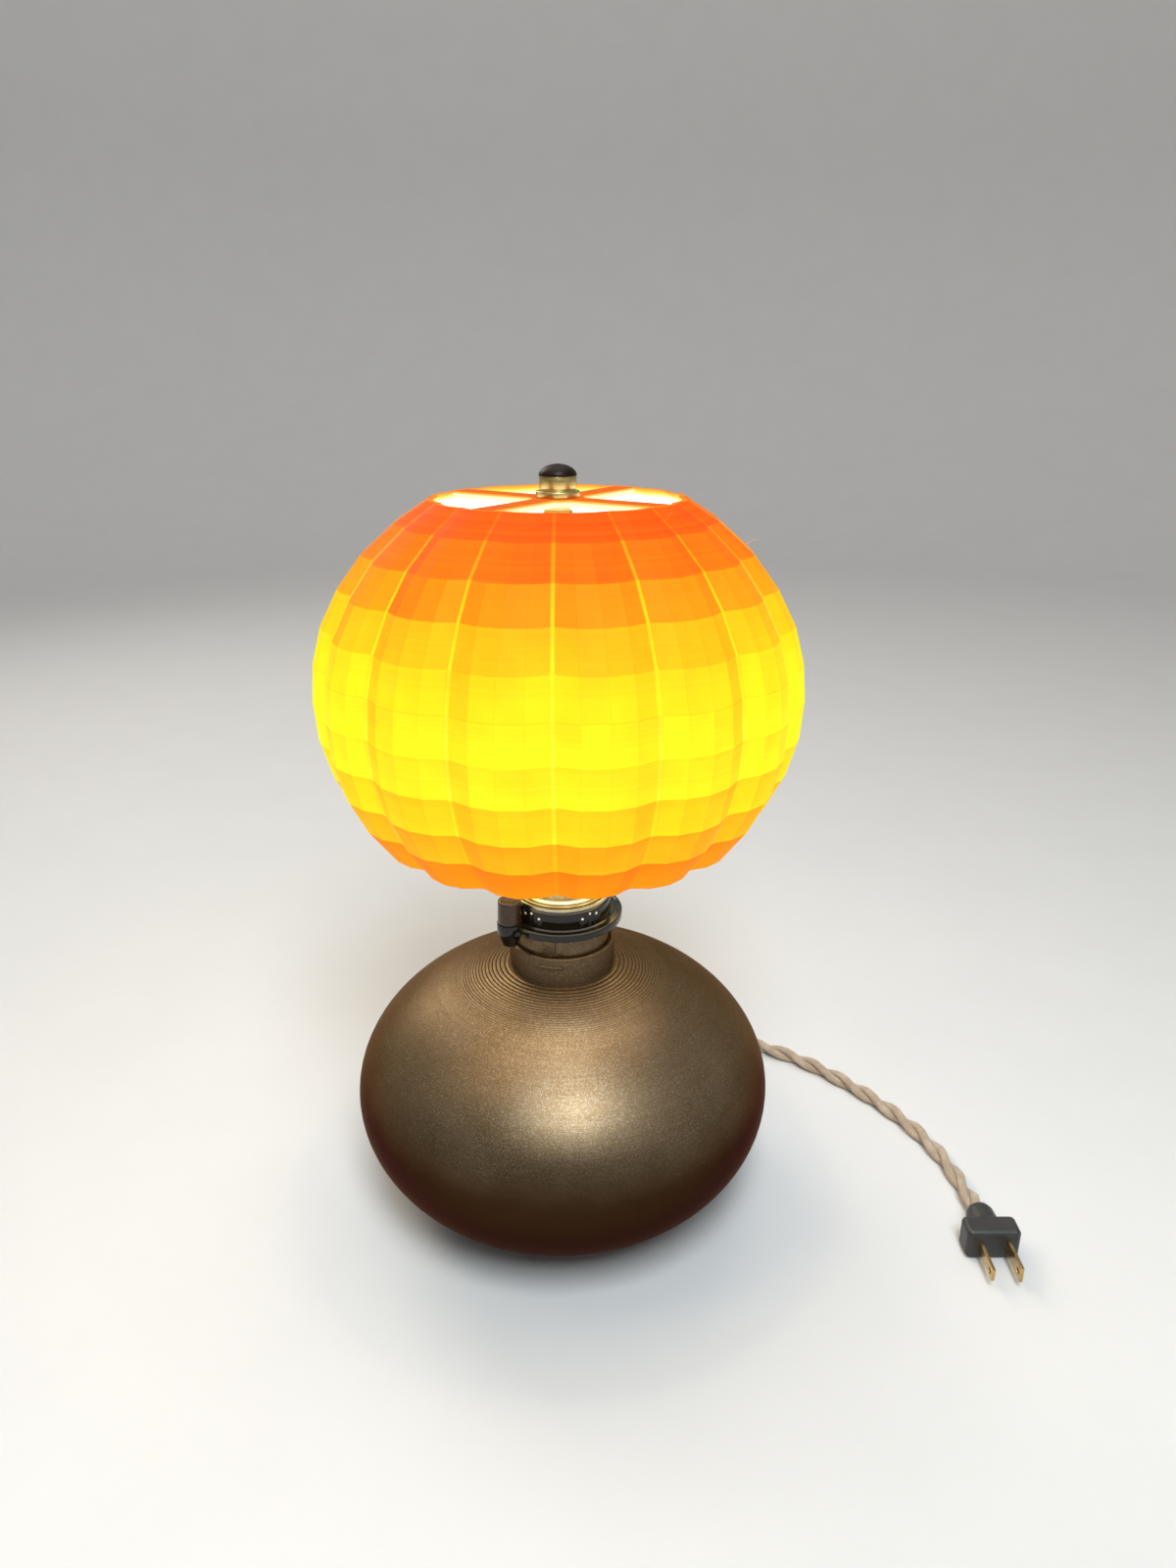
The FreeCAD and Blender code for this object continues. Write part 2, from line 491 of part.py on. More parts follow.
save("swivel_stud", turn([
    (0, HUB_BOTTOM - 1.5), (3.9, HUB_BOTTOM - 1.5), (3.9, HUB_BOTTOM - 0.1),
    (2.48, HUB_BOTTOM - 0.1), (2.48, HUB_TOP + 0.1), (5.4, HUB_TOP + 0.1),
    (5.4, HUB_TOP + 1.75), (STUD_R, HUB_TOP + 1.75), (STUD_R, STUD_TOP - 0.7),
    (STUD_R - 0.7, STUD_TOP), (0, STUD_TOP)]))

# ================= shade =================
# one lobe of unit crest radius: an arc through the crest and both seams
half_lobe = math.pi / LOBES
seam_x, seam_y = LOBE_SEAM * math.cos(half_lobe), LOBE_SEAM * math.sin(half_lobe)
lobe_r = (seam_y ** 2 + (1 - seam_x) ** 2) / (2 * (1 - seam_x))
half_arc = math.asin(seam_y / lobe_r)


def ring_points(radius, z):
    """Corners of one ring, each lobe broken into flat facets."""
    points = []
    for lobe in range(LOBES):
        for facet in range(FACETS):
            angle = -half_arc + 2 * half_arc * facet / FACETS
            x, y = 1 - lobe_r + lobe_r * math.cos(angle), lobe_r * math.sin(angle)
            turned = half_lobe * (2 * lobe + 1) + math.atan2(y, x)
            points.append(polar(SEAM_AZ + math.degrees(turned), radius * math.hypot(x, y), z))
    return points


outer_rings = [ring_points(r, z) for r, z in RINGS]
inner_rings = []
last = len(RINGS) - 1
for i, (r, z) in enumerate(RINGS):
    (r_above, z_above), (r_below, z_below) = RINGS[max(i - 1, 0)], RINGS[min(i + 1, last)]
    length = math.hypot(r_below - r_above, z_below - z_above)
    normal_r, normal_z = (z_above - z_below) / length, (r_below - r_above) / length
    if i in (0, last):
        # the lips stay level
        inner_rings.append(ring_points(r - SHADE_WALL / normal_r, z))
    else:
        inner_rings.append(ring_points(r - normal_r * SHADE_WALL, z - normal_z * SHADE_WALL))

faces = []
for rings in (outer_rings, inner_rings):
    for upper, lower in zip(rings, rings[1:]):
        for j in range(len(upper)):
            k = (j + 1) % len(upper)
            faces.append(Part.Face(closed([upper[j], upper[k], lower[k], lower[j]])))
for i in (0, -1):
    faces.append(Part.Face([closed(outer_rings[i]), closed(inner_rings[i])]))
shell = Part.makeShell(faces)
shell.sewShape()
# sewing can wrap the shell in another shape, and can leave it inside out
shade = Part.makeSolid(shell if shell.ShapeType == "Shell" else shell.Shells[0])
if shade.Volume < 0:
    shade.reverse()
save("shade_shell", shade)

# four arms, trimmed to the shade's inner wall
shade_top = RINGS[0][1]
spider_bottom = shade_top - SPIDER_T
spider = cylinder(SPIDER_HUB_R, spider_bottom, shade_top)
for i in range(4):
    spider = spider.fuse(radial_box(SEAM_AZ + SPIDER_AZ + 90 * i, 0.0, SPIDER_REACH, SPIDER_W,
                                    spider_bottom, shade_top))
opening = closed([Vec(point.x, point.y, spider_bottom) for point in inner_rings[0]])
opening = Part.Face(opening).extrude(Vec(0, 0, SPIDER_T))
spider = spider.removeSplitter().common(opening).cut(cylinder(SPIDER_BORE_R, 300, 360))
save("spider", spider)

# ================= finial =================
finial_bottom = shade_top + 0.05
insert_bore = STUD_R + 0.08
save("finial_insert", turn([(insert_bore, 0.4), (4.6, 0.4), (4.6, 9.4), (insert_bore, 9.4)],
                           finial_bottom))
save("finial_body", turn([
    (4.65, 0), (8.7, 0), (9.0, 0.3), (9.0, 2.3), (8.7, 2.65), (7.1, 2.65), (7.1, 3.4),
    (7.6, 3.6), (7.6, 8.5), (5.6, 8.5), (5.6, 9.8), (4.65, 9.8)], finial_bottom))

# domed cap, hollow below
CAP_R, CAP_H, CAP_BORE_R = 7.75, 4.5, 5.65
rim, hollow_top = finial_bottom + 8.55, finial_bottom + 10.4
dome = [(CAP_R * math.cos(math.radians(angle)), rim + CAP_H * math.sin(math.radians(angle)))
        for angle in range(0, 90, 10)] + [(0, rim + CAP_H)]
save("finial_cap", turn_edges([
    *lines((CAP_BORE_R, rim), (CAP_R, rim)),
    spline(dome, InitialTangent=Vec(0, 0, 8), FinalTangent=Vec(-8, 0, 0)),
    *lines((0, rim + CAP_H), (0, hollow_top), (CAP_BORE_R, hollow_top), (CAP_BORE_R, rim))]))

# ================= conductors =================
# from the cord's inner end, up through the lamp pipe
across = UP.cross(cord_axis).normalize()
wire_route = [cord_end - cord_axis * 0.3, cord_end - cord_axis * 12, Vec(22, 36, 66),
              Vec(4.5, 7, 82), Vec(0, 0, 98), Vec(0, 0, 112), Vec(0, 0, 127.3)]
for side, name in ((-1, "conductor_live"), (1, "conductor_neutral")):
    offset = across * (1.5 * side)
    save(name, smooth_rod([point + offset for point in wire_route], 1.15, cord_axis * -1, UP))
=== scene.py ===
"""A lit table lamp: a round bronze-print base on a felt pad, a fluted translucent shade carried by a
four-armed spider, a bulb and harp inside, and a twisted jute cord.

The lamp stands upright on z = 0 with its axis on Z, and its front looks along -Y. Azimuths are in
degrees from the front (-Y) towards +X. Shapes are given in millimetres; materials, lights and
camera in metres.
"""
import bpy, math, random
import numpy as np
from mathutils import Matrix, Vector


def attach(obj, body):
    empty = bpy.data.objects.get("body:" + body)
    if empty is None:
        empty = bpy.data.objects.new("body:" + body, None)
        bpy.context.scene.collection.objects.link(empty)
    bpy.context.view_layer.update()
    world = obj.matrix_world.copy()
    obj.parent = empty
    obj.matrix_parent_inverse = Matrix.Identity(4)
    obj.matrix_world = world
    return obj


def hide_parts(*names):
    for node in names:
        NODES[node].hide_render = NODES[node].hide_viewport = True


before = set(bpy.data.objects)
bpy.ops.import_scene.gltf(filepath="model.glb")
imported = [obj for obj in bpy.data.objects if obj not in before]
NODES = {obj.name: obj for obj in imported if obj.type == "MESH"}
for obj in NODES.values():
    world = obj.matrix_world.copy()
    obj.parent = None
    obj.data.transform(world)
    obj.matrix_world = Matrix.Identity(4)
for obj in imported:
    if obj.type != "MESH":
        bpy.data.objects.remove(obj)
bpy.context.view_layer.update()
MM = 0.001

# ------------------------------------------------------------------ base dimensions, mm
BASE_RADIUS, BASE_HALF_HEIGHT = 99.0, 66.0      # semi-axes of the round body
BASE_CENTRE_Z = 61.0
BASE_FOOT_Z = 2.0                               # underside, and top of the felt
BASE_WALL = 3.0
NECK_RADIUS, NECK_BORE, NECK_TOP = 24.6, 22.05, 138.8
LAYER_NOMINAL = 0.42
# catch window in the neck
WINDOW_AZ = -11.7
WINDOW_HALF_AZ = math.degrees(5.95 / NECK_RADIUS)
WINDOW_LOW, WINDOW_HIGH = 133.2, 135.6


def body_radius(z, wall=0.0):
    """Radius of the round body at a height, a wall thickness further in."""
    ratio = (z - BASE_CENTRE_Z) / (BASE_HALF_HEIGHT - wall)
    return (BASE_RADIUS - wall) * math.sqrt(max(0.0, 1 - ratio ** 2))


def body_height(radius, wall=0.0):
    """Height at which the upper half of the round body has a given radius."""
    ratio = radius / (BASE_RADIUS - wall)
    return BASE_CENTRE_Z + (BASE_HALF_HEIGHT - wall) * math.sqrt(1 - ratio ** 2)


NECK_START_Z = body_height(NECK_RADIUS)
LAYERS = int((NECK_START_Z - BASE_FOOT_Z) / LAYER_NOMINAL)
LAYER_HEIGHT = (NECK_START_Z - BASE_FOOT_Z) / LAYERS

# ------------------------------------------------------------------ shade dimensions, mm
# corner rings of the shade from the top down: (radius at a lobe's middle, height)
RINGS = (
    (53.0, 338.6), (66.4, 330.0), (80.3, 318.0), (90.4, 304.8), (98.3, 289.9), (102.6, 274.2),
    (104.0, 258.2), (102.8, 242.2), (98.5, 226.4), (91.3, 212.0), (79.8, 196.5),
)
# radius at the seams between lobes over that at their middle, ring by ring
SEAM_RATIOS = (0.962, 0.959, 0.957, 0.955, 0.954, 0.953, 0.953, 0.952, 0.948, 0.943, 0.938)
SHADE_TOP = RINGS[0][1]
ROWS = len(RINGS) - 1
LOBES, FACETS = 16, 4
RING_POINTS = LOBES * (FACETS + 1)
SHADE_WALL = 1.3
SEAM_HALF_WIDTH = 1.15

# colours of the lit wall and of its seams, row by row from the top, 8-bit sRGB
ROW_COLOURS = (
    (252, 100, 16), (254, 126, 18), (254, 165, 22), (254, 208, 26), (254, 238, 31),
    (253, 251, 35), (253, 248, 36), (253, 226, 29), (254, 191, 25), (254, 152, 21),
)
SEAM_COLOURS = (
    (254, 147, 21), (253, 203, 30), (253, 243, 32), (255, 253, 40), (255, 255, 46),
    (255, 255, 60), (255, 255, 60), (254, 246, 40), (252, 209, 26), (254, 161, 23),
)
# facets of a different colour: (row, lobe, facet) -> colour
PATCHES = {
    (2, 14, 0): (254, 141, 19), (2, 14, 1): (254, 146, 20), (2, 14, 2): (254, 156, 21),
    (1, 14, 0): (253, 112, 17), (1, 15, 3): (254, 119, 17), (1, 15, 2): (254, 121, 17),
    (1, 0, 2): (254, 120, 17), (1, 0, 3): (254, 123, 18), (3, 13, 1): (254, 196, 24),
    (2, 5, 1): (254, 150, 20), (2, 9, 2): (254, 150, 20), (3, 8, 0): (254, 196, 24),
    (1, 6, 1): (253, 114, 17),
}


# ------------------------------------------------------------------ shader helpers
def srgb(*channels):
    """Linear RGBA of an 8-bit sRGB colour."""
    def linear(value):
        value = value / 255.0
        return value / 12.92 if value <= 0.04045 else ((value + 0.055) / 1.055) ** 2.4
    return (*map(linear, channels), 1.0)


class Shader:
    """A Principled material put together from nodes; colours are linear RGB."""

    INPUTS = {
        "color": "Base Color", "rough": "Roughness", "metal": "Metallic", "normal": "Normal",
        "spec": "Specular IOR Level", "tint": "Specular Tint", "coat": "Coat Weight",
        "emit": "Emission Color", "glow": "Emission Strength",
        "sheen": "Sheen Weight", "sheen_rough": "Sheen Roughness",
    }

    def __init__(self, name):
        self.material = bpy.data.materials.new(name)
        self.material.use_nodes = True
        self.tree = self.material.node_tree
        self.tree.nodes.clear()
        output = self.node("ShaderNodeOutputMaterial")
        self.principled = self.node("ShaderNodeBsdfPrincipled")
        self.put(output.inputs["Surface"], self.principled.outputs["BSDF"])
        self.place = self.node("ShaderNodeTexCoord").outputs["Object"]

    def surface(self, **values):
        """Fill in the Principled inputs and return the material."""
        for key, value in values.items():
            self.put(self.principled.inputs[self.INPUTS[key]], value)
        return self.material

    def node(self, kind, **settings):
        node = self.tree.nodes.new(kind)
        for key, value in settings.items():
            setattr(node, key, value)
        return node

    def put(self, socket, value):
        if isinstance(value, bpy.types.NodeSocket):
            self.tree.links.new(value, socket)
        else:
            if socket.type == "RGBA" and len(value) == 3:
                value = (*value, 1.0)
            socket.default_value = value

    def attr(self, name, out="Fac"):
        node = self.node("ShaderNodeAttribute", attribute_type="GEOMETRY", attribute_name=name)
        return node.outputs[out]

    def math(self, operation, *values):
        node = self.node("ShaderNodeMath", operation=operation)
        if len(values) == 1:
            values += (0.0,)
        for socket, value in zip(node.inputs, values):
            self.put(socket, value)
        return node.outputs[0]

    def add(self, total, *others):
        for value in others:
            total = self.math("ADD", total, value)
        return total

    def mul(self, product, *others):
        for value in others:
            product = self.math("MULTIPLY", product, value)
        return product

    def sub(self, value, taken):
        return self.math("SUBTRACT", value, taken)

    def div(self, value, divisor):
        return self.math("DIVIDE", value, divisor)

    def vector(self, operation, *values):
        node = self.node("ShaderNodeVectorMath", operation=operation)
        for socket, value in zip(node.inputs, values):
            self.put(socket, value)
        return node.outputs["Value" if operation == "DOT_PRODUCT" else "Vector"]

    def xyz(self, source=None):
        node = self.node("ShaderNodeSeparateXYZ")
        self.put(node.inputs[0], source or self.place)
        return node.outputs

    def combine(self, *values):
        node = self.node("ShaderNodeCombineXYZ")
        for socket, value in zip(node.inputs, values):
            self.put(socket, value)
        return node.outputs[0]

    def axis_distance(self, position):
        """Distance from the lamp's axis."""
        squares = [self.mul(position[i], position[i]) for i in range(2)]
        return self.math("SQRT", self.add(*squares))

    def stretched(self, factors):
        return self.vector("MULTIPLY", self.place, factors)

    def noise(self, scale, detail=3, rough=0.6, at=None):
        node = self.node("ShaderNodeTexNoise")
        self.put(node.inputs["Vector"], at or self.place)
        node.inputs["Scale"].default_value = scale
        node.inputs["Detail"].default_value = detail
        node.inputs["Roughness"].default_value = rough
        return node.outputs["Fac"]

    def step_noise(self, number):
        """A random value for each whole number."""
        node = self.node("ShaderNodeTexWhiteNoise", noise_dimensions="1D")
        self.put(node.inputs["W"], number)
        return node.outputs["Value"]

    def cells(self, scale):
        """Three random channels, each constant within a cell."""
        cells = self.node("ShaderNodeTexVoronoi")
        self.put(cells.inputs["Vector"], self.place)
        cells.inputs["Scale"].default_value = scale
        node = self.node("ShaderNodeSeparateColor")
        self.put(node.inputs[0], cells.outputs["Color"])
        return node.outputs

    def ramp(self, factor, stops):
        node = self.node("ShaderNodeValToRGB")
        self.put(node.inputs[0], factor)
        elements = node.color_ramp.elements
        while len(elements) < len(stops):
            elements.new(0.5)
        for element, (position, colour) in zip(elements, stops):
            element.position = position
            element.color = (*colour, 1.0)
        return node.outputs[0]

    def span(self, value, source, to=(0, 1), smooth=False):
        """Map the source range onto another, clamped."""
        node = self.node("ShaderNodeMapRange")
        if smooth:
            node.interpolation_type = "SMOOTHSTEP"
        self.put(node.inputs["Value"], value)
        node.inputs["From Min"].default_value, node.inputs["From Max"].default_value = source
        node.inputs["To Min"].default_value, node.inputs["To Max"].default_value = to
        return node.outputs["Result"]

    def mix(self, factor, first, second):
        node = self.node("ShaderNodeMix", data_type="RGBA", blend_type="MIX")
        node.clamp_factor = True
        self.put(node.inputs["Factor"], factor)
        self.put(node.inputs[6], first)
        self.put(node.inputs[7], second)
        return node.outputs[2]

    def bump(self, height, strength, dist):
        node = self.node("ShaderNodeBump")
        node.inputs["Strength"].default_value = strength
        node.inputs["Distance"].default_value = dist
        self.put(node.inputs["Height"], height)
        return node.outputs[0]


# ------------------------------------------------------------------ general materials
def metal(name, dark, light, rough, grain, stretch, bump):
    """Turned or drawn metal: fine tool lines, tarnish, and a changing polish."""
    mat = Shader(name)
    lines = mat.noise(grain, detail=4, at=mat.stretched(stretch))
    cloud = mat.noise(140.0, detail=5)
    colour = mat.mix(mat.span(cloud, (0.35, 0.7)), dark, light)
    colour = mat.mix(mat.span(lines, (0.3, 0.8), to=(0, 0.35)), colour, light)
    polish = mat.add(mat.span(lines, (0.2, 0.8), to=(rough * 0.7, rough * 1.3)),
                     mat.span(cloud, (0.3, 0.8), to=(-0.04, 0.08)))
    return mat.surface(color=colour, metal=1.0, rough=polish,
                       normal=mat.bump(lines, strength=bump, dist=0.00012))


def plastic(name, dark, light, rough, grain, bump, spec=0.5, coat=0.0):
    """Moulded plastic with a fine spark-eroded grain and slightly uneven colour."""
    mat = Shader(name)
    fine = mat.noise(grain)
    cloud = mat.noise(90.0, detail=4, rough=0.55)
    colour = mat.mix(mat.span(cloud, (0.3, 0.75)), dark, light)
    polish = mat.add(mat.span(fine, (0.2, 0.8), to=(rough - 0.06, rough + 0.06)),
                     mat.span(cloud, (0.3, 0.7), to=(-0.03, 0.05)))
    return mat.surface(color=colour, rough=polish, coat=coat, spec=spec,
                       normal=mat.bump(fine, strength=bump, dist=0.00008))


def printed_cover(layer=0.0003, rough=0.55):
    """Black filament print: stacked layer lines, with a slight colour drift between layers."""
    mat = Shader("cover_print_black")
    dark, light = (0.020, 0.019, 0.018), (0.040, 0.037, 0.034)
    z = mat.xyz()[2]
    ridge = mat.div(mat.math("PINGPONG", z, layer / 2), layer / 2)
    drift = mat.step_noise(mat.math("FLOOR", mat.div(z, layer)))
    fine = mat.noise(1500.0)
    colour = mat.mix(mat.span(drift, (0, 1), to=(0.1, 0.9)), dark, light)
    colour = mat.mix(mat.span(fine, (0.35, 0.7), to=(0, 0.3)), colour, dark)
    height = mat.add(ridge, mat.mul(fine, 0.35))
    polish = mat.add(mat.span(drift, (0, 1), to=(rough - 0.07, rough + 0.07)),
                     mat.span(fine, (0.3, 0.7), to=(-0.05, 0.05)))
    return mat.surface(color=colour, rough=polish,
                       normal=mat.bump(height, strength=0.5, dist=0.0001))


def bronze():
    """Bronze filament with metal flakes: layer beads with painted shade in the creases between them,
    and painted shade darkening towards the foot.
    """
    mat = Shader("bronze_print_detail")
    brown, tan = (0.160, 0.108, 0.055), (0.212, 0.150, 0.086)
    drift_brown, pit_brown = (0.110, 0.062, 0.026), (0.080, 0.044, 0.016)
    gold, silver = (0.78, 0.62, 0.36), (0.80, 0.77, 0.70)
    # painted shade colours for the darkened foot
    painted_shade_foot_dark, painted_shade_foot_light = (0.028, 0.0140, 0.0060), (0.048, 0.024, 0.0105)
    # painted shade colour for the creases between layers, then the edge tint of the metal's
    # reflection
    crease_shade_brown, edge_tint = (0.026, 0.014, 0.006), (0.50, 0.31, 0.19)

    z = mat.xyz()[2]
    flake = mat.cells(3200.0)
    grain = mat.noise(2300.0, detail=4, rough=0.7)
    cloud = mat.noise(30.0, detail=4, rough=0.55)
    level = mat.div(mat.sub(z, BASE_FOOT_Z * MM), LAYER_HEIGHT * MM)
    drift = mat.step_noise(mat.math("FLOOR", level))
    # painted shade in the creases at both ends of each layer, fainter on the steep outer wall
    within = mat.math("FRACT", level)
    shaded_crease = mat.math("MAXIMUM", mat.span(within, (0.972, 0.996)),
                     mat.span(within, (0.0, 0.10), to=(1, 0)))
    radius = mat.axis_distance(mat.xyz())
    shaded_crease = mat.mul(shaded_crease, mat.span(radius, (0.048, 0.078), to=(1.0, 0.22), smooth=True))

    colour = mat.mix(mat.span(cloud, (0.3, 0.7)), brown, tan)
    colour = mat.mix(mat.span(drift, (0, 1), to=(0, 0.22)), colour, drift_brown)
    colour = mat.mix(mat.mul(mat.span(flake[0], (0.72, 0.98)), 0.18), colour, gold)
    colour = mat.mix(mat.mul(mat.span(flake[1], (0.80, 1.0)), 0.22), colour, silver)
    colour = mat.mix(mat.span(grain, (0.34, 0.50), to=(0.30, 0)), colour, pit_brown)
    # painted shade: the foot is darkened to stand in for dark reflections, and the darkening ends in
    # an uneven line
    foot = mat.mix(mat.span(grain, (0.3, 0.7)), painted_shade_foot_dark, painted_shade_foot_light)
    uneven_z = mat.add(z, mat.mul(mat.sub(cloud, 0.5), 0.010))
    colour = mat.mix(mat.span(uneven_z, (0.062, 0.098), to=(1, 0), smooth=True), colour, foot)
    # painted shade laid into the creases between layers
    colour = mat.mix(mat.mul(shaded_crease, 0.95), colour, crease_shade_brown)

    tilt = mat.cells(1700.0)[2]
    height = mat.add(mat.mul(grain, 0.7), mat.mul(tilt, 0.45))
    polish = mat.add(mat.span(grain, (0.25, 0.75), to=(0.34, 0.44)),
                     mat.span(drift, (0, 1), to=(-0.02, 0.03)), mat.mul(shaded_crease, 0.25))
    return mat.surface(color=colour, metal=0.90, rough=polish, spec=0.5, tint=edge_tint,
                       normal=mat.bump(height, strength=0.70, dist=0.00016))


def silver_ring(rough=0.26):
    """Plate turned about the lamp's axis, with concentric grooves given as bump and darkened with
    painted shade.
    """
    mat = Shader("silver_ring")
    dark, light, painted_groove_shade = (0.52, 0.46, 0.30), (0.74, 0.68, 0.50), (0.030, 0.022, 0.012)
    groove_bands, soft = ((20.7, 21.7), (17.0, 18.0)), 0.06     # radii and edge softness, mm
    position = mat.xyz()
    radius = mat.axis_distance(position)
    at = mat.combine(mat.mul(radius, 9000.0), mat.mul(position[2], 2500.0))
    lines = mat.noise(1.0, at=at)
    cloud = mat.noise(140.0, detail=4)
    colour = mat.mix(mat.span(cloud, (0.3, 0.7)), dark, light)
    colour = mat.mix(mat.span(lines, (0.3, 0.75), to=(0, 0.4)), colour, dark)

    def edge(at_radius, to):
        limits = ((at_radius - soft) * MM, (at_radius + soft) * MM)
        return mat.span(radius, limits, to=to, smooth=True)

    bands = [mat.mul(edge(inner, (0, 1)), edge(outer, (1, 0))) for inner, outer in groove_bands]
    groove_and_shade = mat.math("MAXIMUM", *bands)
    # painted shade: the groove bands are coloured near-black
    colour = mat.mix(groove_and_shade, colour, painted_groove_shade)
    polish = mat.add(mat.span(lines, (0.2, 0.8), to=(rough * 0.8, rough * 1.3)),
                     mat.mul(groove_and_shade, 0.2))
    height = mat.sub(lines, mat.mul(groove_and_shade, 3.0))
    return mat.surface(color=colour, metal=1.0, rough=polish,
                       normal=mat.bump(height, strength=0.10, dist=0.0001))


def felt():
    mat = Shader("felt_wool")
    wool = mat.noise(900.0, detail=6, rough=0.7)
    fine = mat.noise(2600.0, at=mat.stretched((1, 1, 0.25)))
    colour = mat.mix(mat.span(wool, (0.3, 0.7)), (0.018, 0.017, 0.016), (0.055, 0.050, 0.045))
    height = mat.add(wool, mat.mul(fine, 0.6))
    return mat.surface(color=colour, rough=mat.span(fine, (0.2, 0.8), to=(0.85, 1.0)),
                       normal=mat.bump(height, strength=0.8, dist=0.0004),
                       sheen=0.35, sheen_rough=0.5)


def jute():
    """Yarn with fibres drawn out along each strand, and paler blotches."""
    mat = Shader("jute_yarn")
    brown, straw, pale = (0.20, 0.125, 0.070), (0.56, 0.42, 0.28), (0.66, 0.54, 0.40)
    at = mat.combine(mat.mul(mat.attr("along"), 0.9), mat.mul(mat.attr("round"), 9.0),
                     mat.attr("strand"))
    fibre = mat.noise(2.4, detail=6, rough=0.7, at=at)
    blotch = mat.noise(120.0, detail=4)
    colour = mat.mix(mat.span(fibre, (0.3, 0.7)), brown, straw)
    colour = mat.mix(mat.span(blotch, (0.45, 0.75), to=(0, 0.55)), colour, pale)
    return mat.surface(color=colour, rough=mat.span(fibre, (0.2, 0.8), to=(0.72, 0.95)),
                       normal=mat.bump(fibre, strength=0.9, dist=0.0005),
                       sheen=0.3, sheen_rough=0.6)


def lit_globe():
    """Frosted diffuser of a lit bulb, warmer and dimmer towards its skirt."""
    mat = Shader("bulb_diffuser_lit")
    fine = mat.noise(700.0, detail=4)
    upper = mat.span(mat.xyz()[2], (0.200, 0.232), to=(0.35, 1.0), smooth=True)
    light = mat.mix(upper, (1.0, 0.74, 0.42), (1.0, 0.86, 0.62))
    return mat.surface(color=(0.86, 0.84, 0.80), rough=mat.span(fine, (0.2, 0.8), to=(0.42, 0.62)),
                       normal=mat.bump(fine, strength=0.2, dist=0.0001), emit=light,
                       glow=mat.mul(mat.add(upper, mat.mul(fine, 0.08)), 34.0))


def lit_chip():
    mat = Shader("led_phosphor_lit")
    fine = mat.noise(1500.0)
    return mat.surface(color=mat.mix(fine, (0.85, 0.62, 0.10), (0.95, 0.78, 0.25)),
                       rough=mat.span(fine, (0.2, 0.8), to=(0.4, 0.6)),
                       normal=mat.bump(fine, strength=0.2, dist=0.0001),
                       emit=(1.0, 0.85, 0.5), glow=mat.mul(fine, 6.0))


# key: (name, dark, light, roughness, grain scale, grain stretch, bump strength)
METALS = {
    "brass": ("brass_polished", (0.42, 0.26, 0.09), (0.66, 0.46, 0.20),
              0.22, 1200.0, (1, 1, 0.05), 0.06),
    "brass_satin": ("brass_satin_turned", (0.36, 0.28, 0.10), (0.58, 0.47, 0.20),
                    0.34, 1500.0, (0.06, 0.06, 1), 0.12),
    "nickel": ("nickel_plate", (0.50, 0.49, 0.46), (0.74, 0.73, 0.70),
               0.24, 1000.0, (0.1, 0.1, 1), 0.08),
    "zinc": ("zinc_steel", (0.40, 0.40, 0.39), (0.62, 0.62, 0.60),
             0.36, 900.0, (1, 1, 0.2), 0.15),
}
# key: (name, dark, light, roughness, grain scale, bump strength[, specular level[, coat]])
PLASTICS = {
    "black": ("black_moulding_gloss", (0.0050, 0.0038, 0.0030), (0.0095, 0.0070, 0.0048),
              0.16, 2200.0, 0.03, 0.42),
    "knob": ("knob_dark_brown", (0.020, 0.0085, 0.0022), (0.036, 0.016, 0.0045),
             0.24, 1800.0, 0.05),
    "cap": ("cap_dark_brown", (0.007, 0.0025, 0.0012), (0.014, 0.0045, 0.002),
            0.40, 1500.0, 0.08, 0.14),
    "rubber": ("black_rubber_matt", (0.016, 0.016, 0.016), (0.030, 0.029, 0.028),
               0.78, 2400.0, 0.35, 0.3),
    "plug": ("plug_black", (0.020, 0.019, 0.018), (0.034, 0.032, 0.030), 0.46, 1700.0, 0.28),
    "dots": ("white_mark", (0.78, 0.77, 0.73), (0.92, 0.91, 0.88), 0.42, 3000.0, 0.15),
    "wire_brown": ("wire_brown", (0.10, 0.035, 0.012), (0.16, 0.06, 0.02), 0.4, 1600.0, 0.10),
    "wire_white": ("wire_white", (0.62, 0.61, 0.58), (0.78, 0.77, 0.74), 0.4, 1600.0, 0.10),
    "glass_black": ("base_glass_black", (0.006, 0.006, 0.007), (0.012, 0.012, 0.014),
                    0.10, 700.0, 0.05, 0.7, 0.5),
    "bulb_white": ("bulb_white", (0.72, 0.70, 0.66), (0.86, 0.85, 0.82), 0.38, 1400.0, 0.10),
    "board_white": ("board_white", (0.70, 0.71, 0.70), (0.82, 0.82, 0.80), 0.35, 1200.0, 0.08),
    "board_green": ("board_green", (0.012, 0.10, 0.035), (0.02, 0.17, 0.06), 0.32, 1200.0, 0.15),
}
MATERIALS = {"bronze": bronze()}
MATERIALS.update((key, metal(*row)) for key, row in METALS.items())
MATERIALS["silver"] = silver_ring()
MATERIALS.update((key, plastic(*row)) for key, row in PLASTICS.items())
MATERIALS.update(cover=printed_cover(), felt=felt(), jute=jute(), globe=lit_globe(),
                 chip=lit_chip())

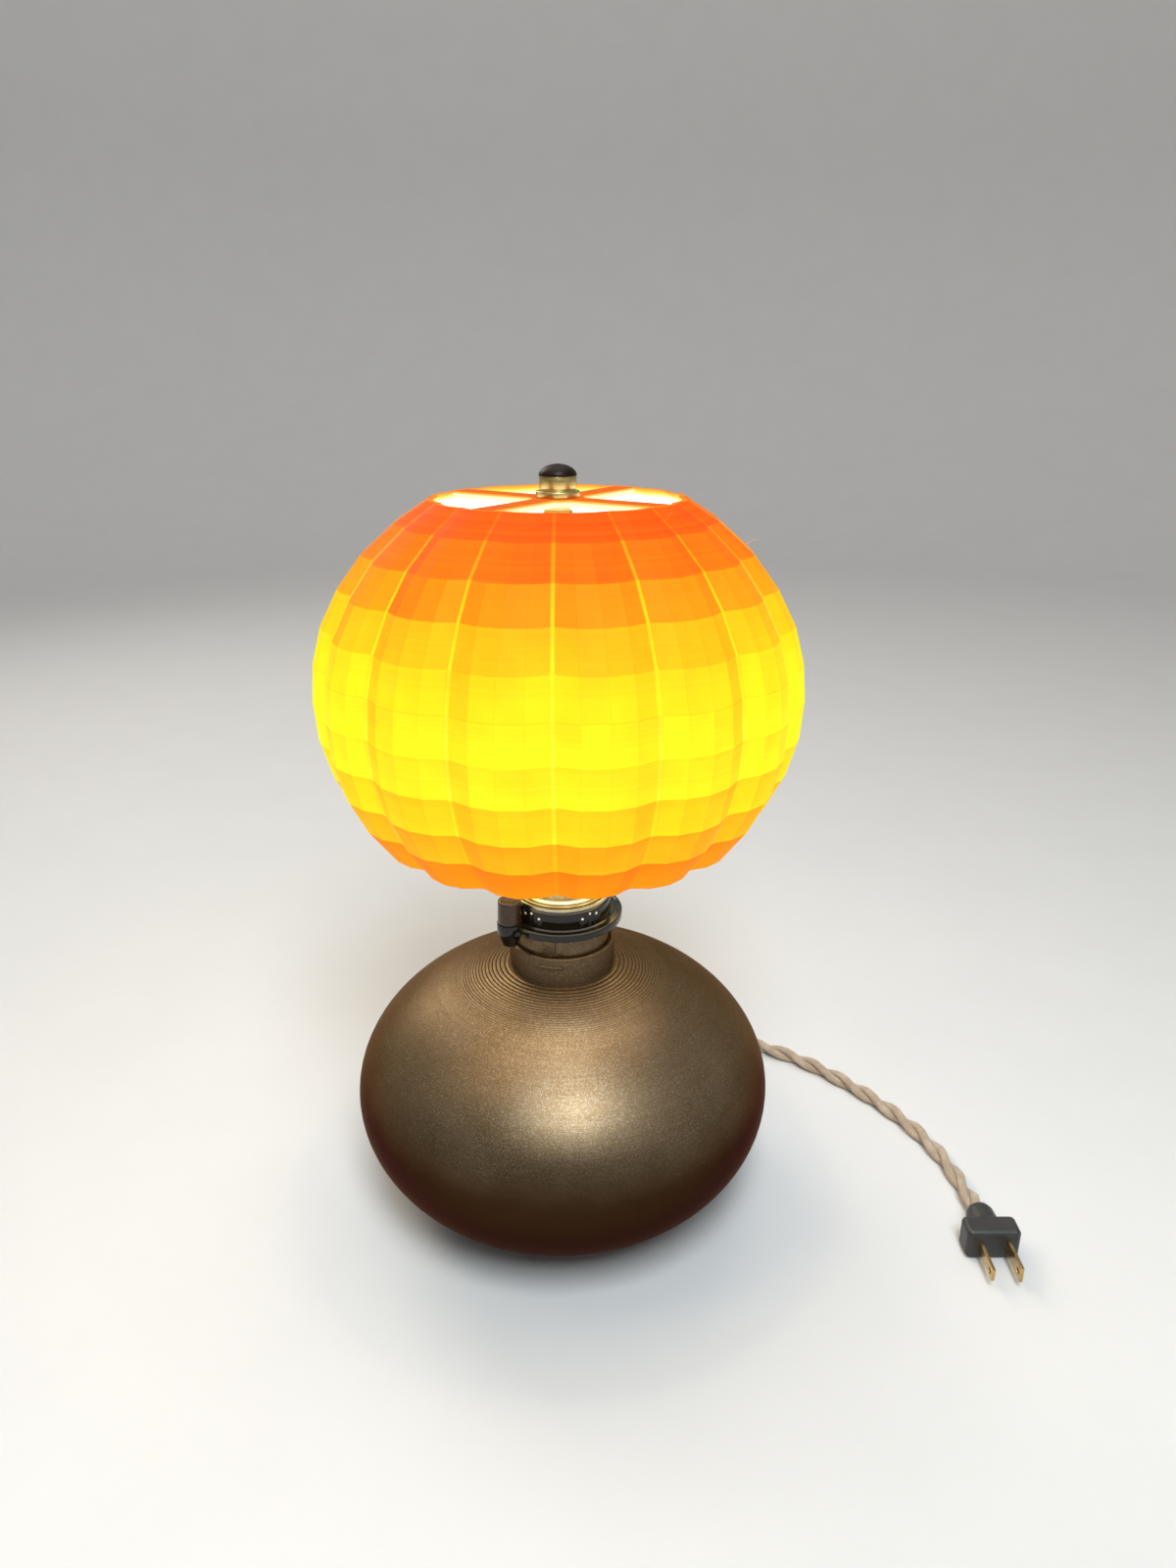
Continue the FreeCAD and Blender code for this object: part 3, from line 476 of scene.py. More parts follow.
# ------------------------------------------------------------------ looks of the CAD nodes
# node: (material, width of its broken edges in mm)
LOOKS = {
    "bottom_cover": ("cover", 0.15), "cover_screws": ("zinc", 0.08),
    "cord_grommet": ("rubber", 0.25), "cord_clamp": ("rubber", 0.3),
    "plug_body": ("plug", 0.0), "plug_blades": ("brass", 0.2),
    "neck_sleeve": ("bronze", 0.12), "sleeve_catch": ("bronze", 0.15),
    "lamp_pipe": ("zinc", 0.15), "pipe_nut_lower": ("zinc", 0.15),
    "lock_washer": ("zinc", 0.1), "pipe_nut_upper": ("zinc", 0.15),
    "holder_cap": ("black", 0.3), "holder_body": ("black", 0.25),
    "screw_shell": ("brass", 0.0), "centre_contact": ("brass", 0.03),
    "terminal_screws": ("brass", 0.12), "collar_flange": ("black", 0.16),
    "rotary_switch": ("cover", 0.2), "knob_shaft": ("brass", 0.2),
    "dimmer_knob": ("knob", 0.12), "retaining_ring": ("black", 0.12),
    "index_dots": ("dots", 0.06), "harp_saddle": ("silver", 0.12),
    "clamp_ring": ("silver", 0.10), "harp": ("brass", 0.0),
    "harp_sleeve_left": ("brass", 0.12), "harp_sleeve_right": ("brass", 0.12),
    "swivel_stud": ("brass", 0.12), "bulb_screw_base": ("nickel", 0.0),
    "bulb_insulator": ("glass_black", 0.2), "bulb_contact": ("nickel", 0.1),
    "bulb_housing": ("bulb_white", 0.0), "bulb_globe": ("globe", 0.0),
    "led_board": ("board_white", 0.15), "led_chips": ("chip", 0.15),
    "driver_board": ("board_green", 0.1), "finial_insert": ("brass", 0.15),
    "finial_body": ("brass_satin", 0.18), "finial_cap": ("cap", 0.15),
    "conductor_live": ("wire_brown", 0.0), "conductor_neutral": ("wire_white", 0.0),
}


def dress_cad_nodes(weld_distance=0.000004, crease_angle=38):
    for node, (key, width) in LOOKS.items():
        piece = NODES[node]
        piece.data.materials.clear()
        piece.data.materials.append(MATERIALS[key])
        piece.data.polygons.foreach_set("material_index", [0] * len(piece.data.polygons))
        weld = piece.modifiers.new("weld", "WELD")
        weld.merge_threshold = weld_distance
        if width:
            bevel = piece.modifiers.new("broken_edges", "BEVEL")
            bevel.width = width * MM
            bevel.segments = 2
            bevel.limit_method = "ANGLE"
            bevel.angle_limit = math.radians(crease_angle)
            bevel.harden_normals = False
            bevel.use_clamp_overlap = True


dress_cad_nodes()


# ------------------------------------------------------------------ mesh helpers
def add_piece(name, shape, material, body, smooth=True, sharp=None):
    """Make an object from (verts in mm, faces). sharp: crease angle in degrees."""
    verts, faces = shape
    mesh = bpy.data.meshes.new(name)
    points = np.asarray(verts, float) * MM
    mesh.from_pydata(points.tolist(), [], [tuple(int(i) for i in face) for face in faces])
    mesh.validate()
    mesh.update()
    if smooth:
        mesh.polygons.foreach_set("use_smooth", [True] * len(mesh.polygons))
        if sharp is not None:
            mesh.set_sharp_from_angle(angle=math.radians(sharp))
    piece = bpy.data.objects.new(name, mesh)
    bpy.context.scene.collection.objects.link(piece)
    mesh.materials.append(material)
    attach(piece, body)
    return piece


def add_attributes(piece, kind, domain, columns):
    field = "value" if kind == "FLOAT" else "color"
    for name, values in columns.items():
        attribute = piece.data.attributes.new(name, kind, domain)
        attribute.data.foreach_set(field, np.asarray(values, np.float32).ravel())


def join(verts, faces, shape):
    """Add one (verts, faces) shape to a growing mesh."""
    first = len(verts)
    verts.extend(shape[0])
    faces.extend(tuple(first + i for i in face) for face in shape[1])


def bearing(azimuth):
    """Unit vectors outwards at an azimuth and sideways, towards growing azimuth."""
    angle = math.radians(azimuth)
    sin, cos = math.sin(angle), math.cos(angle)
    return np.array([sin, -cos, 0]), np.array([cos, sin, 0])


def unit(vectors):
    return vectors / np.linalg.norm(vectors, axis=-1, keepdims=True)


def even_azimuths(count):
    return np.arange(count) * 360.0 / count


def lathe(profile, azimuths):
    """Closed surface turned from a closed (radius, z) profile; points on the axis are shared."""
    verts, faces, rows = [], [], []
    count = len(azimuths)
    angles = np.radians(azimuths)
    for radius, z in profile:
        if radius < 1e-6:
            rows.append([len(verts)] * count)
            verts.append((0, 0, z))
        else:
            rows.append(list(range(len(verts), len(verts) + count)))
            verts.extend(zip(radius * np.sin(angles), -radius * np.cos(angles), [z] * count))
    for i, row in enumerate(rows):
        after = rows[(i + 1) % len(rows)]
        for j in range(count):
            k = (j + 1) % count
            face = list(dict.fromkeys((row[j], row[k], after[k], after[j])))
            if len(face) > 2:
                faces.append(face)
    return verts, faces


def smooth_curve(points, start_tangent, end_tangent, step):
    """Points and tangents, a step apart, of a cubic spline through points."""
    points = np.array(points, float)
    count = len(points)
    lengths = np.linalg.norm(np.diff(points, axis=0), axis=1)
    knots = np.concatenate([[0], np.cumsum(lengths)])
    system = np.zeros((count, count))
    target = np.zeros((count, 3))
    system[0, 0] = system[-1, -1] = 1
    target[0], target[-1] = start_tangent, end_tangent
    for i in range(1, count - 1):
        before, after = lengths[i - 1], lengths[i]
        system[i, i - 1:i + 2] = 1 / before, 2 / before + 2 / after, 1 / after
        target[i] = 3 * ((points[i] - points[i - 1]) / before**2
                         + (points[i + 1] - points[i]) / after**2)
    slopes = np.linalg.solve(system, target)
    curve, tangents = [], []
    for distance in np.linspace(0, knots[-1], int(knots[-1] / step)):
        i = min(np.searchsorted(knots, distance, side="right") - 1, count - 2)
        length = lengths[i]
        x = (distance - knots[i]) / length
        curve.append((2 * x**3 - 3 * x**2 + 1) * points[i]
                     + (x**3 - 2 * x**2 + x) * length * slopes[i]
                     + (-2 * x**3 + 3 * x**2) * points[i + 1]
                     + (x**3 - x**2) * length * slopes[i + 1])
        tangents.append((6 * x**2 - 6 * x) / length * points[i]
                        + (3 * x**2 - 4 * x + 1) * slopes[i]
                        + (6 * x - 6 * x**2) / length * points[i + 1]
                        + (3 * x**2 - 2 * x) * slopes[i + 1])
    return np.array(curve), unit(np.array(tangents))


def directions(curve):
    return unit(np.gradient(curve, axis=0))


def carry(tangents, up=(0, 0, 1)):
    """Two cross directions carried along a curve without twist."""
    across, beside = [], []
    current = unit(np.cross(tangents[0], up))
    for tangent in tangents:
        current = unit(current - tangent * np.dot(current, tangent))
        across.append(current)
        beside.append(np.cross(tangent, current))
    return np.array(across), np.array(beside)


def tube(curve, across, beside, radius, sides):
    """Closed tube; radius is a number or an array over (curve point, side)."""
    angles = np.arange(sides) * 2 * math.pi / sides
    radius = np.broadcast_to(radius, (len(curve), sides))[..., None]
    rings = (curve[:, None] + np.cos(angles)[:, None] * radius * across[:, None]
             + np.sin(angles)[:, None] * radius * beside[:, None])
    faces = []
    last = (len(curve) - 1) * sides
    for row in range(0, last, sides):
        for j in range(sides):
            k = (j + 1) % sides
            faces.append((row + j, row + k, row + sides + k, row + sides + j))
    faces.append(tuple(reversed(range(sides))))
    faces.append(tuple(range(last, last + sides)))
    return rings.reshape(-1, 3).tolist(), faces


def signed_volume(verts, faces):
    """Six times the volume of a closed mesh: positive when its faces look outwards."""
    points = np.array(verts, float)
    points = points - points.mean(0)
    total = 0.0
    for face in faces:
        for second, third in zip(face[1:], face[2:]):
            total += float(np.dot(points[face[0]], np.cross(points[second], points[third])))
    return total


# ------------------------------------------------------------------ shade
OUTER, INNER, TOP_LIP, BOTTOM_LIP = range(4)    # values of the "side" attribute


def lobe_points(radius, z, ratio, lobe):
    """Corners of one lobe of a ring; the first and last stand back from the seams."""
    half_lobe = math.pi / LOBES
    seam_x, seam_y = ratio * math.cos(half_lobe), ratio * math.sin(half_lobe)
    # the lobe is an arc through both seams and its middle, on a ring of radius 1
    arc = (seam_y**2 + (1 - seam_x) ** 2) / (2 * (1 - seam_x))
    half_arc = math.asin(seam_y / arc)
    points = []
    for j in range(FACETS + 1):
        turn = -half_arc + 2 * half_arc * j / FACETS
        x, y = 1 - arc + arc * math.cos(turn), arc * math.sin(turn)
        angle = 2 * half_lobe * lobe + half_lobe + math.atan2(y, x)
        reach = radius * math.hypot(x, y)
        points.append(np.array([reach * math.sin(angle), -reach * math.cos(angle), z]))
    first, last = points[0], points[-1]
    points[0] = first + unit(points[1] - first) * SEAM_HALF_WIDTH
    points[-1] = last + unit(points[-2] - last) * SEAM_HALF_WIDTH
    return points


def ring_points(radius, z, ratio):
    return np.array([p for k in range(LOBES) for p in lobe_points(radius, z, ratio, k)])


def inner_rings():
    """Corner rings of the inside face, a wall's thickness in from the outside."""
    rings = []
    for i, (radius, z) in enumerate(RINGS):
        above, below = RINGS[max(i - 1, 0)], RINGS[min(i + 1, ROWS)]
        length = math.dist(above, below)
        normal_r, normal_z = -(below[1] - above[1]) / length, (below[0] - above[0]) / length
        if i in (0, ROWS):
            radius -= SHADE_WALL / normal_r     # the lips stay level
        else:
            radius, z = radius - normal_r * SHADE_WALL, z - normal_z * SHADE_WALL
        rings.append(ring_points(radius, z, SEAM_RATIOS[i]))
    return rings


def layered_rings(parts=3, joint_depth=-0.03, joint_share=0.012):
    """Outer rings with a bead per printed layer, and the (row, place in the row) of each."""
    corners = [ring_points(*ring, ratio) for ring, ratio in zip(RINGS, SEAM_RATIOS)]
    rings, stations = [], []
    for row in range(ROWS):
        pitch, bead = (1.15, 0.055) if row == 0 else (0.9, 0.028)
        steps = int(round(math.dist(RINGS[row], RINGS[row + 1]) / pitch)) * parts
        for step in range(0 if row == 0 else 1, steps + 1):
            t = step / steps
            ring = corners[row] * (1 - t) + corners[row + 1] * t
            offset = bead * (math.sin(math.pi * (step % parts) / parts) - 0.5)
            if 0 < t < joint_share or t > 1 - joint_share:
                offset = joint_depth
            radius = np.hypot(ring[:, 0], ring[:, 1])
            ring[:, :2] *= ((radius + offset) / radius)[:, None]
            rings.append(ring)
            stations.append((row, t))
    return rings, stations


def build_shade():
    """Mesh, per-corner float attributes and per-corner colours of the shade."""
    facet_random = np.random.default_rng(7).random((ROWS, RING_POINTS))
    outer, stations = layered_rings()
    verts = np.concatenate(outer + inner_rings())
    faces = []
    floats = {name: [] for name in ("fu", "fv", "row", "rnd", "seam", "side")}
    colours = {"tone": [], "seamc": []}

    def quad(corners, row, start, end, point, side):
        lobe, facet = divmod(point, FACETS + 1)
        faces.append(corners)
        # the outer face's corners run down first, all others run round first
        down_first = side == OUTER
        floats["fu"] += (0, 0, 1, 1) if down_first else (0, 1, 1, 0)
        floats["fv"] += (start, end, end, start) if down_first else (start, start, end, end)
        floats["row"] += [row] * 4
        floats["rnd"] += [facet_random[row, point]] * 4
        floats["seam"] += [facet == FACETS] * 4
        floats["side"] += [side] * 4
        tone = PATCHES.get((row, lobe, facet), ROW_COLOURS[row])
        colours["tone"] += [srgb(*tone)] * 4
        colours["seamc"] += [srgb(*SEAM_COLOURS[row])] * 4

    for i in range(len(outer) - 1):
        (row_above, start), (row, end) = stations[i:i + 2]
        if row_above != row:
            start = 0.0
        above, below = i * RING_POINTS, (i + 1) * RING_POINTS
        for c in range(RING_POINTS):
            k = (c + 1) % RING_POINTS
            quad((above + c, below + c, below + k, above + k), row, start, end, c, OUTER)
    inside = len(outer) * RING_POINTS
    for row in range(ROWS):
        above = inside + row * RING_POINTS
        below = above + RING_POINTS
        for c in range(RING_POINTS):
            k = (c + 1) % RING_POINTS
            quad((above + c, above + k, below + k, below + c), row, 0, 1, c, INNER)
    low_outer, low_inner = inside - RING_POINTS, inside + ROWS * RING_POINTS
    for c in range(RING_POINTS):
        k = (c + 1) % RING_POINTS
        quad((c, k, inside + k, inside + c), 0, 0, 1, c, TOP_LIP)
        quad((low_outer + c, low_inner + c, low_inner + k, low_outer + k),
             ROWS - 1, 0, 1, c, BOTTOM_LIP)
    return (verts, faces), floats, colours


def shade_material():
    """Lit print: emission follows the facets, layers, seams and the bulb behind the wall."""
    mat = Shader("shade_print_lit")
    form_centre, bulb = (0, 0, 0.252), (0, 0, 0.226)
    names = ("seam", "side", "rnd", "fv", "fu", "row")
    seam, side, facet_random, down, across, row = map(mat.attr, names)

    def off_middle():
        return mat.math("ABSOLUTE", mat.sub(across, 0.5))

    # the seam strip: brightest along its middle, running out softly to both sides
    seam_share = mat.mul(seam, mat.span(row, (0.0, 2.5), to=(0.55, 1.0)),
                         mat.span(down, (0, 1), to=(0.72, 0.98)),
                         mat.span(off_middle(), (0.04, 0.5), to=(1, 0), smooth=True))
    tone = mat.mix(seam_share, mat.attr("tone", "Color"), mat.attr("seamc", "Color"))

    geometry = mat.node("ShaderNodeNewGeometry").outputs

    def towards_eye(offset):
        """Cosine between a direction in the shade's own frame and the one to the eye."""
        turn = mat.node("ShaderNodeVectorTransform", vector_type="VECTOR",
                        convert_from="OBJECT", convert_to="WORLD")
        mat.put(turn.inputs[0], mat.vector("NORMALIZE", offset))
        return mat.vector("DOT_PRODUCT", turn.outputs[0], geometry["Incoming"])

    facing = mat.vector("DOT_PRODUCT", geometry["Normal"], geometry["Incoming"])
    # a facet turned towards the eye lets more through than the round form it approximates
    round_form = towards_eye(mat.vector("SUBTRACT", mat.place, form_centre))
    facet_turn = mat.sub(facing, round_form)
    # hottest where the sight line runs on to the bulb
    aim = mat.mul(towards_eye(mat.vector("SUBTRACT", bulb, mat.place)), -1.0)
    cloud = mat.noise(60.0, detail=4, rough=0.55)
    z = mat.xyz()[2]
    layer = mat.step_noise(mat.math("FLOOR", mat.div(z, 0.0009)))
    layer_contrast = mat.span(row, (0.0, 1.6), to=(0.10, 0.022))
    gain = mat.add(
        0.975, mat.mul(facet_turn, 0.26),
        mat.span(aim, (0.86, 1.0), to=(0.0, 0.05), smooth=True),
        mat.span(facet_random, (0, 1), to=(-0.020, 0.016)),
        mat.span(down, (0, 1), to=(-0.02, 0.035)),
        mat.span(cloud, (0.3, 0.7), to=(-0.03, 0.03)),
        mat.mul(mat.sub(layer, 0.55), layer_contrast))
    # thin darker joints round each row and along each facet's edge, but not on the seams
    top = mat.span(down, (0.0, 0.035), to=(1, 0), smooth=True)
    bottom = mat.span(down, (0.975, 1.0), smooth=True)
    edge = mat.span(off_middle(), (0.475, 0.5), smooth=True)
    dark = mat.math("MAXIMUM", mat.mul(mat.math("MAXIMUM", top, bottom), 0.060),
                    mat.mul(edge, 0.050))
    dark = mat.mul(dark, mat.sub(1.0, seam))
    gain = mat.math("MAXIMUM", mat.sub(gain, dark), 0.4)
    # red changes least: bright facets go yellow, shaded ones orange
    excess = mat.sub(gain, 1.0)
    red_green_blue = (0.18, 2.1, 1.6)
    warm = mat.combine(*[mat.add(1.0, mat.mul(excess, share)) for share in red_green_blue])
    skin = mat.vector("MULTIPLY", tone, warm)
    rim = mat.span(facing, (0.01, 0.13), to=(0.45, 0.0), smooth=True)
    skin = mat.mix(rim, skin, srgb(255, 240, 110))

    # inside face: white-hot, yellow to orange near the top lip
    near_top = mat.span(z, (0.3315, SHADE_TOP * MM))
    inside = mat.ramp(near_top, ((0.0, (1.0, 1.0, 0.96)), (0.40, (1.0, 0.95, 0.60)),
                                 (0.72, (1.0, 0.72, 0.06)), (1.0, (1.0, 0.30, 0.015))))
    low = mat.span(z, (0.215, 0.275), to=(1, 0), smooth=True)
    inside = mat.mix(low, inside, (1.0, 0.72, 0.20))
    boost = mat.node("ShaderNodeVectorMath", operation="SCALE")
    mat.put(boost.inputs[0], inside)
    mat.put(boost.inputs["Scale"],
            mat.mul(mat.span(near_top, (0.0, 0.8), to=(2.3, 1.05)),
                    mat.span(z, (0.215, 0.285), to=(2.2, 1.0), smooth=True)))
    lip = mat.mix(mat.span(mat.noise(900.0), (0.3, 0.7)), (0.95, 0.20, 0.008),
                  (1.0, 0.32, 0.014))

    is_inner = mat.math("COMPARE", side, float(INNER), 0.3)
    is_lip = mat.math("GREATER_THAN", side, 1.5)
    light = mat.mix(is_lip, mat.mix(is_inner, skin, boost.outputs[0]), lip)
    fine = mat.noise(1300.0)
    height = mat.add(mat.mul(layer, 0.4), mat.mul(fine, 0.35))
    return mat.surface(color=mat.mix(fine, (0.030, 0.006, 0.0005), (0.048, 0.010, 0.001)),
                       rough=mat.span(fine, (0.2, 0.8), to=(0.55, 0.72)), spec=0.035,
                       normal=mat.bump(height, strength=0.25, dist=0.00008),
                       emit=light, glow=1.0)


def add_shade():
    shape, floats, colours = build_shade()
    piece = add_piece("shade_wall", shape, shade_material(), "shade",
                      smooth=False)
    add_attributes(piece, "FLOAT", "CORNER", floats)
    add_attributes(piece, "FLOAT_COLOR", "CORNER", colours)
    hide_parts("shade_shell")


add_shade()

# ------------------------------------------------------------------ stringing hairs on the shade
# azimuth, height, radius, length, curl
HAIRS = (
    (62, 330.0, 64.5, 9.0, 3.0), (44, 334.5, 58.0, 6.0, -2.0), (95, 318.5, 78.0, 7.0, 2.0),
    (-52, 300.0, 92.2, 5.0, 1.5), (150, 322.0, 74.0, 8.0, -3.0), (71, 306.0, 88.0, 4.5, 2.0),
    (-110, 327.0, 68.0, 7.0, 2.5),
)


def hair_material():
    mat = Shader("stringing_hair")
    fine = mat.noise(900.0)
    # painted light: a faint orange glow stands in for the lit shade shining through the hairs
    return mat.surface(color=mat.mix(fine, (0.75, 0.22, 0.03), (0.95, 0.40, 0.08)),
                       rough=mat.span(fine, (0.2, 0.8), to=(0.35, 0.6)),
                       normal=mat.bump(fine, strength=0.2, dist=0.00005),
                       emit=(0.7, 0.2, 0.02), glow=0.35)


def build_hairs(rise=0.55, thickness_radius=0.07):
    verts, faces = [], []
    for azimuth, z, radius, length, curl in HAIRS:
        out, sideways = bearing(azimuth)
        root = out * radius + np.array([0, 0, z])
        heading = out + np.array([0, 0, rise])
        curve = np.array([
            root + heading * length * t + sideways * curl * t * t + np.array([0, 0, -curl]) * t**3
            for t in np.linspace(0, 0.8, 9)])
        join(verts, faces, tube(curve, *carry(directions(curve)), thickness_radius, sides=5))
    return verts, faces


add_piece("shade_hairs", build_hairs(), hair_material(), "shade")

# ------------------------------------------------------------------ spider
ARM_FIRST_AZ, ARMS = 56.25, 4
ARM_WIDTH, ARM_THICKNESS, ARM_ROUNDING = 10.0, 3.0, 0.5
ARM_START, ARM_END = 8.5, 51.2
HUB_BORE, HUB_RADIUS = 3.35, 11.0
SIDE_GROOVE, TOP_GROOVE = 0.05, 0.07


def arm_profile():
    """Arm cross section (sideways, z): rounded top corners, grooved top and sides."""
    half, low = ARM_WIDTH / 2, SHADE_TOP - ARM_THICKNESS
    centre, centre_z = half - ARM_ROUNDING, SHADE_TOP - ARM_ROUNDING

    def corner(x, start):
        angles = [start - q * math.pi / 2 for q in (0.0, 0.5, 1.0)]
        return [(x + ARM_ROUNDING * math.cos(angle), centre_z + ARM_ROUNDING * math.sin(angle))
                for angle in angles]

    side = [(half - (SIDE_GROOVE if i % 2 else 0.0), centre_z - (ARM_THICKNESS - 0.8) * i / 10)
            for i in range(1, 10)]
    top = [(x, SHADE_TOP - (TOP_GROOVE if i % 4 == 3 else 0.0))
           for i, x in enumerate(np.linspace(-centre, centre, 41)[1:-1])]
    foot = [(half - 0.3, low), (-half + 0.3, low)]
    return (corner(-centre, math.pi) + top + corner(centre, math.pi / 2)
            + side + foot + [(-x, z) for x, z in reversed(side)])


def hub_profile():
    low, face = SHADE_TOP - ARM_THICKNESS, SHADE_TOP + 0.02
    profile = [(HUB_BORE, low + 0.2), (HUB_BORE + 0.2, low), (HUB_RADIUS - 0.2, low),
               (HUB_RADIUS, low + 0.2)]
    for i in range(1, 10):
        profile.append((HUB_RADIUS - (SIDE_GROOVE if i % 2 else 0.0),
                        low + 0.2 + (ARM_THICKNESS - 0.6) * i / 10))
    profile += [(HUB_RADIUS, SHADE_TOP - 0.4), (10.85, SHADE_TOP - 0.1), (10.6, face)]
    for radius in (9.6, 8.6, 7.6, 6.6, 5.6, 4.6):       # ring grooves in the top
        profile += [(radius + 0.08, face), (radius, SHADE_TOP - 0.05), (radius - 0.08, face)]
    return profile + [(3.6, face), (HUB_BORE, SHADE_TOP - 0.2)]


def build_spider():
    verts, faces = [], []
    profile = arm_profile()
    count = len(profile)
    stations = np.linspace(ARM_START, ARM_END, 30)
    last = (len(stations) - 1) * count
    arm_faces = []
    for row in range(0, last, count):
        for j in range(count):
            k = (j + 1) % count
            arm_faces.append((row + j, row + count + j, row + count + k, row + k))
    arm_faces += [tuple(range(count)), tuple(reversed(range(last, last + count)))]
    for arm in range(ARMS):
        out, sideways = bearing(ARM_FIRST_AZ + 360 / ARMS * arm)
        arm_verts = [(*(out * reach + sideways * x)[:2], z)
                     for reach in stations for x, z in profile]
        join(verts, faces, (arm_verts, arm_faces))
    join(verts, faces, lathe(hub_profile(), even_azimuths(96)))
    return verts, faces


def spider_material():
    """Orange top; sides lit by the bulb, orange under the top edge and white-hot lower down."""
    mat = Shader("spider_print_lit")
    geometry = mat.node("ShaderNodeNewGeometry")
    normal_z = mat.xyz(geometry.outputs["Normal"])[2]
    fine = mat.noise(1100.0)
    cloud = mat.noise(120.0, detail=4)
    top = mat.mix(mat.span(cloud, (0.3, 0.7)), (0.80, 0.120, 0.006), (0.93, 0.175, 0.010))
    hot = mat.mix(fine, (1.5, 1.25, 0.62), (1.6, 1.4, 0.85))
    orange = mat.mix(fine, (1.05, 0.42, 0.02), (1.1, 0.55, 0.04))
    sides = mat.mix(mat.span(mat.xyz()[2], (0.3368, 0.3383), smooth=True), hot, orange)
    light = mat.mix(mat.span(normal_z, (0.25, 0.85), smooth=True), sides, top)
    return mat.surface(color=mat.mix(fine, (0.030, 0.006, 0.0005), (0.048, 0.010, 0.001)),
                       rough=mat.span(fine, (0.2, 0.8), to=(0.5, 0.68)), spec=0.04,
                       normal=mat.bump(fine, strength=0.25, dist=0.0001),
                       emit=light, glow=0.95)


spider = add_piece("spider_arms", build_spider(), spider_material(), "shade",
                   sharp=35)
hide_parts("spider")

# ------------------------------------------------------------------ base
STEPPED_FROM_Z = 84.0       # below this the wall is steep and each layer is one shallow bead
# dome layer as (radius offset, share of its width, share of its height) when fully stepped,
# then (share of the slope, bulge) when smooth
DOME_LAYER = (
    (-0.012, 0.0, 0.04, 0.03, -0.006),
    (0.0, 0.0, 0.38, 0.30, 0.006),
    (0.0, -0.20, 0.80, 0.55, 0.008),
    (0.0, -0.58, 0.97, 0.80, 0.004),
)


def layer_profile(index):
    """Outer profile of one printed layer of the round body."""
    low = BASE_FOOT_Z + LAYER_HEIGHT * index
    jitter = 0.006 * math.sin(index * 12.9898) * math.sin(index * 4.1)
    start = max(body_radius(low), NECK_RADIUS) + jitter
    end = max(body_radius(low + LAYER_HEIGHT), NECK_RADIUS) + jitter
    if low < STEPPED_FROM_Z:
        return [(start - 0.012, low + 0.02), ((start + end) / 2 + 0.004, low + LAYER_HEIGHT * 0.5)]
    # the dome flattens towards the neck: each layer turns into a rounded step with a tread
    width = max(start - end, 0.05)
    stepped = min(1.0, max(0.0, (width / LAYER_HEIGHT - 1.1) / 2.4))
    stepped = stepped * stepped * (3 - 2 * stepped)
    points = []
    for offset, width_share, height_share, slope_share, bulge in DOME_LAYER:
        radius = start - width * slope_share + bulge
        z = low + LAYER_HEIGHT * slope_share + bulge
        step_radius = start + (offset + width_share * width)
        step_z = low + LAYER_HEIGHT * height_share
        points.append((radius * (1 - stepped) + step_radius * stepped,
                       z * (1 - stepped) + step_z * stepped))
    return points


def base_profile():
    """Closed (radius, z) profile: up the outside, over the neck, and down the inside."""
    profile = [point for i in range(LAYERS) for point in layer_profile(i)]
    neck_low = NECK_START_Z + 0.05
    neck_layers = int(round((WINDOW_LOW - neck_low) / LAYER_NOMINAL))
    heights = [*np.linspace(neck_low, WINDOW_LOW, neck_layers * 2 + 1),
               *np.linspace(WINDOW_LOW, WINDOW_HIGH, 17)[1:],
               *np.linspace(WINDOW_HIGH, NECK_TOP - 0.55, 15)[1:]]
    profile += [(NECK_RADIUS - (0.05 if i % 2 else 0.0), z) for i, z in enumerate(heights)]
    profile += [(NECK_RADIUS - 0.12, NECK_TOP - 0.22), (NECK_RADIUS - 0.5, NECK_TOP),
                (NECK_BORE + 0.4, NECK_TOP), (NECK_BORE, NECK_TOP - 0.35)]
    profile += [(NECK_BORE, z) for z in np.linspace(WINDOW_HIGH, WINDOW_LOW, 17)]
    # floor of the neck with its centre hole, then the hollow body
    floor_top, floor_bottom, hole_radius, cavity_top_radius = 116.0, 113.0, 5.3, 25.0
    profile += [(NECK_BORE, floor_top), (hole_radius, floor_top), (hole_radius, floor_bottom),
                (cavity_top_radius, floor_bottom)]
    cavity_floor = 8.0
    cavity = np.linspace(body_height(cavity_top_radius, BASE_WALL), cavity_floor, 60)
    profile += [(body_radius(z, BASE_WALL), z) for z in cavity]
    # stepped opening in the underside
    opening, recess, recess_z = 30.0, 38.15, 5.0
    return profile + [(opening, cavity_floor), (opening, recess_z), (recess, recess_z),
                      (recess, BASE_FOOT_Z)]


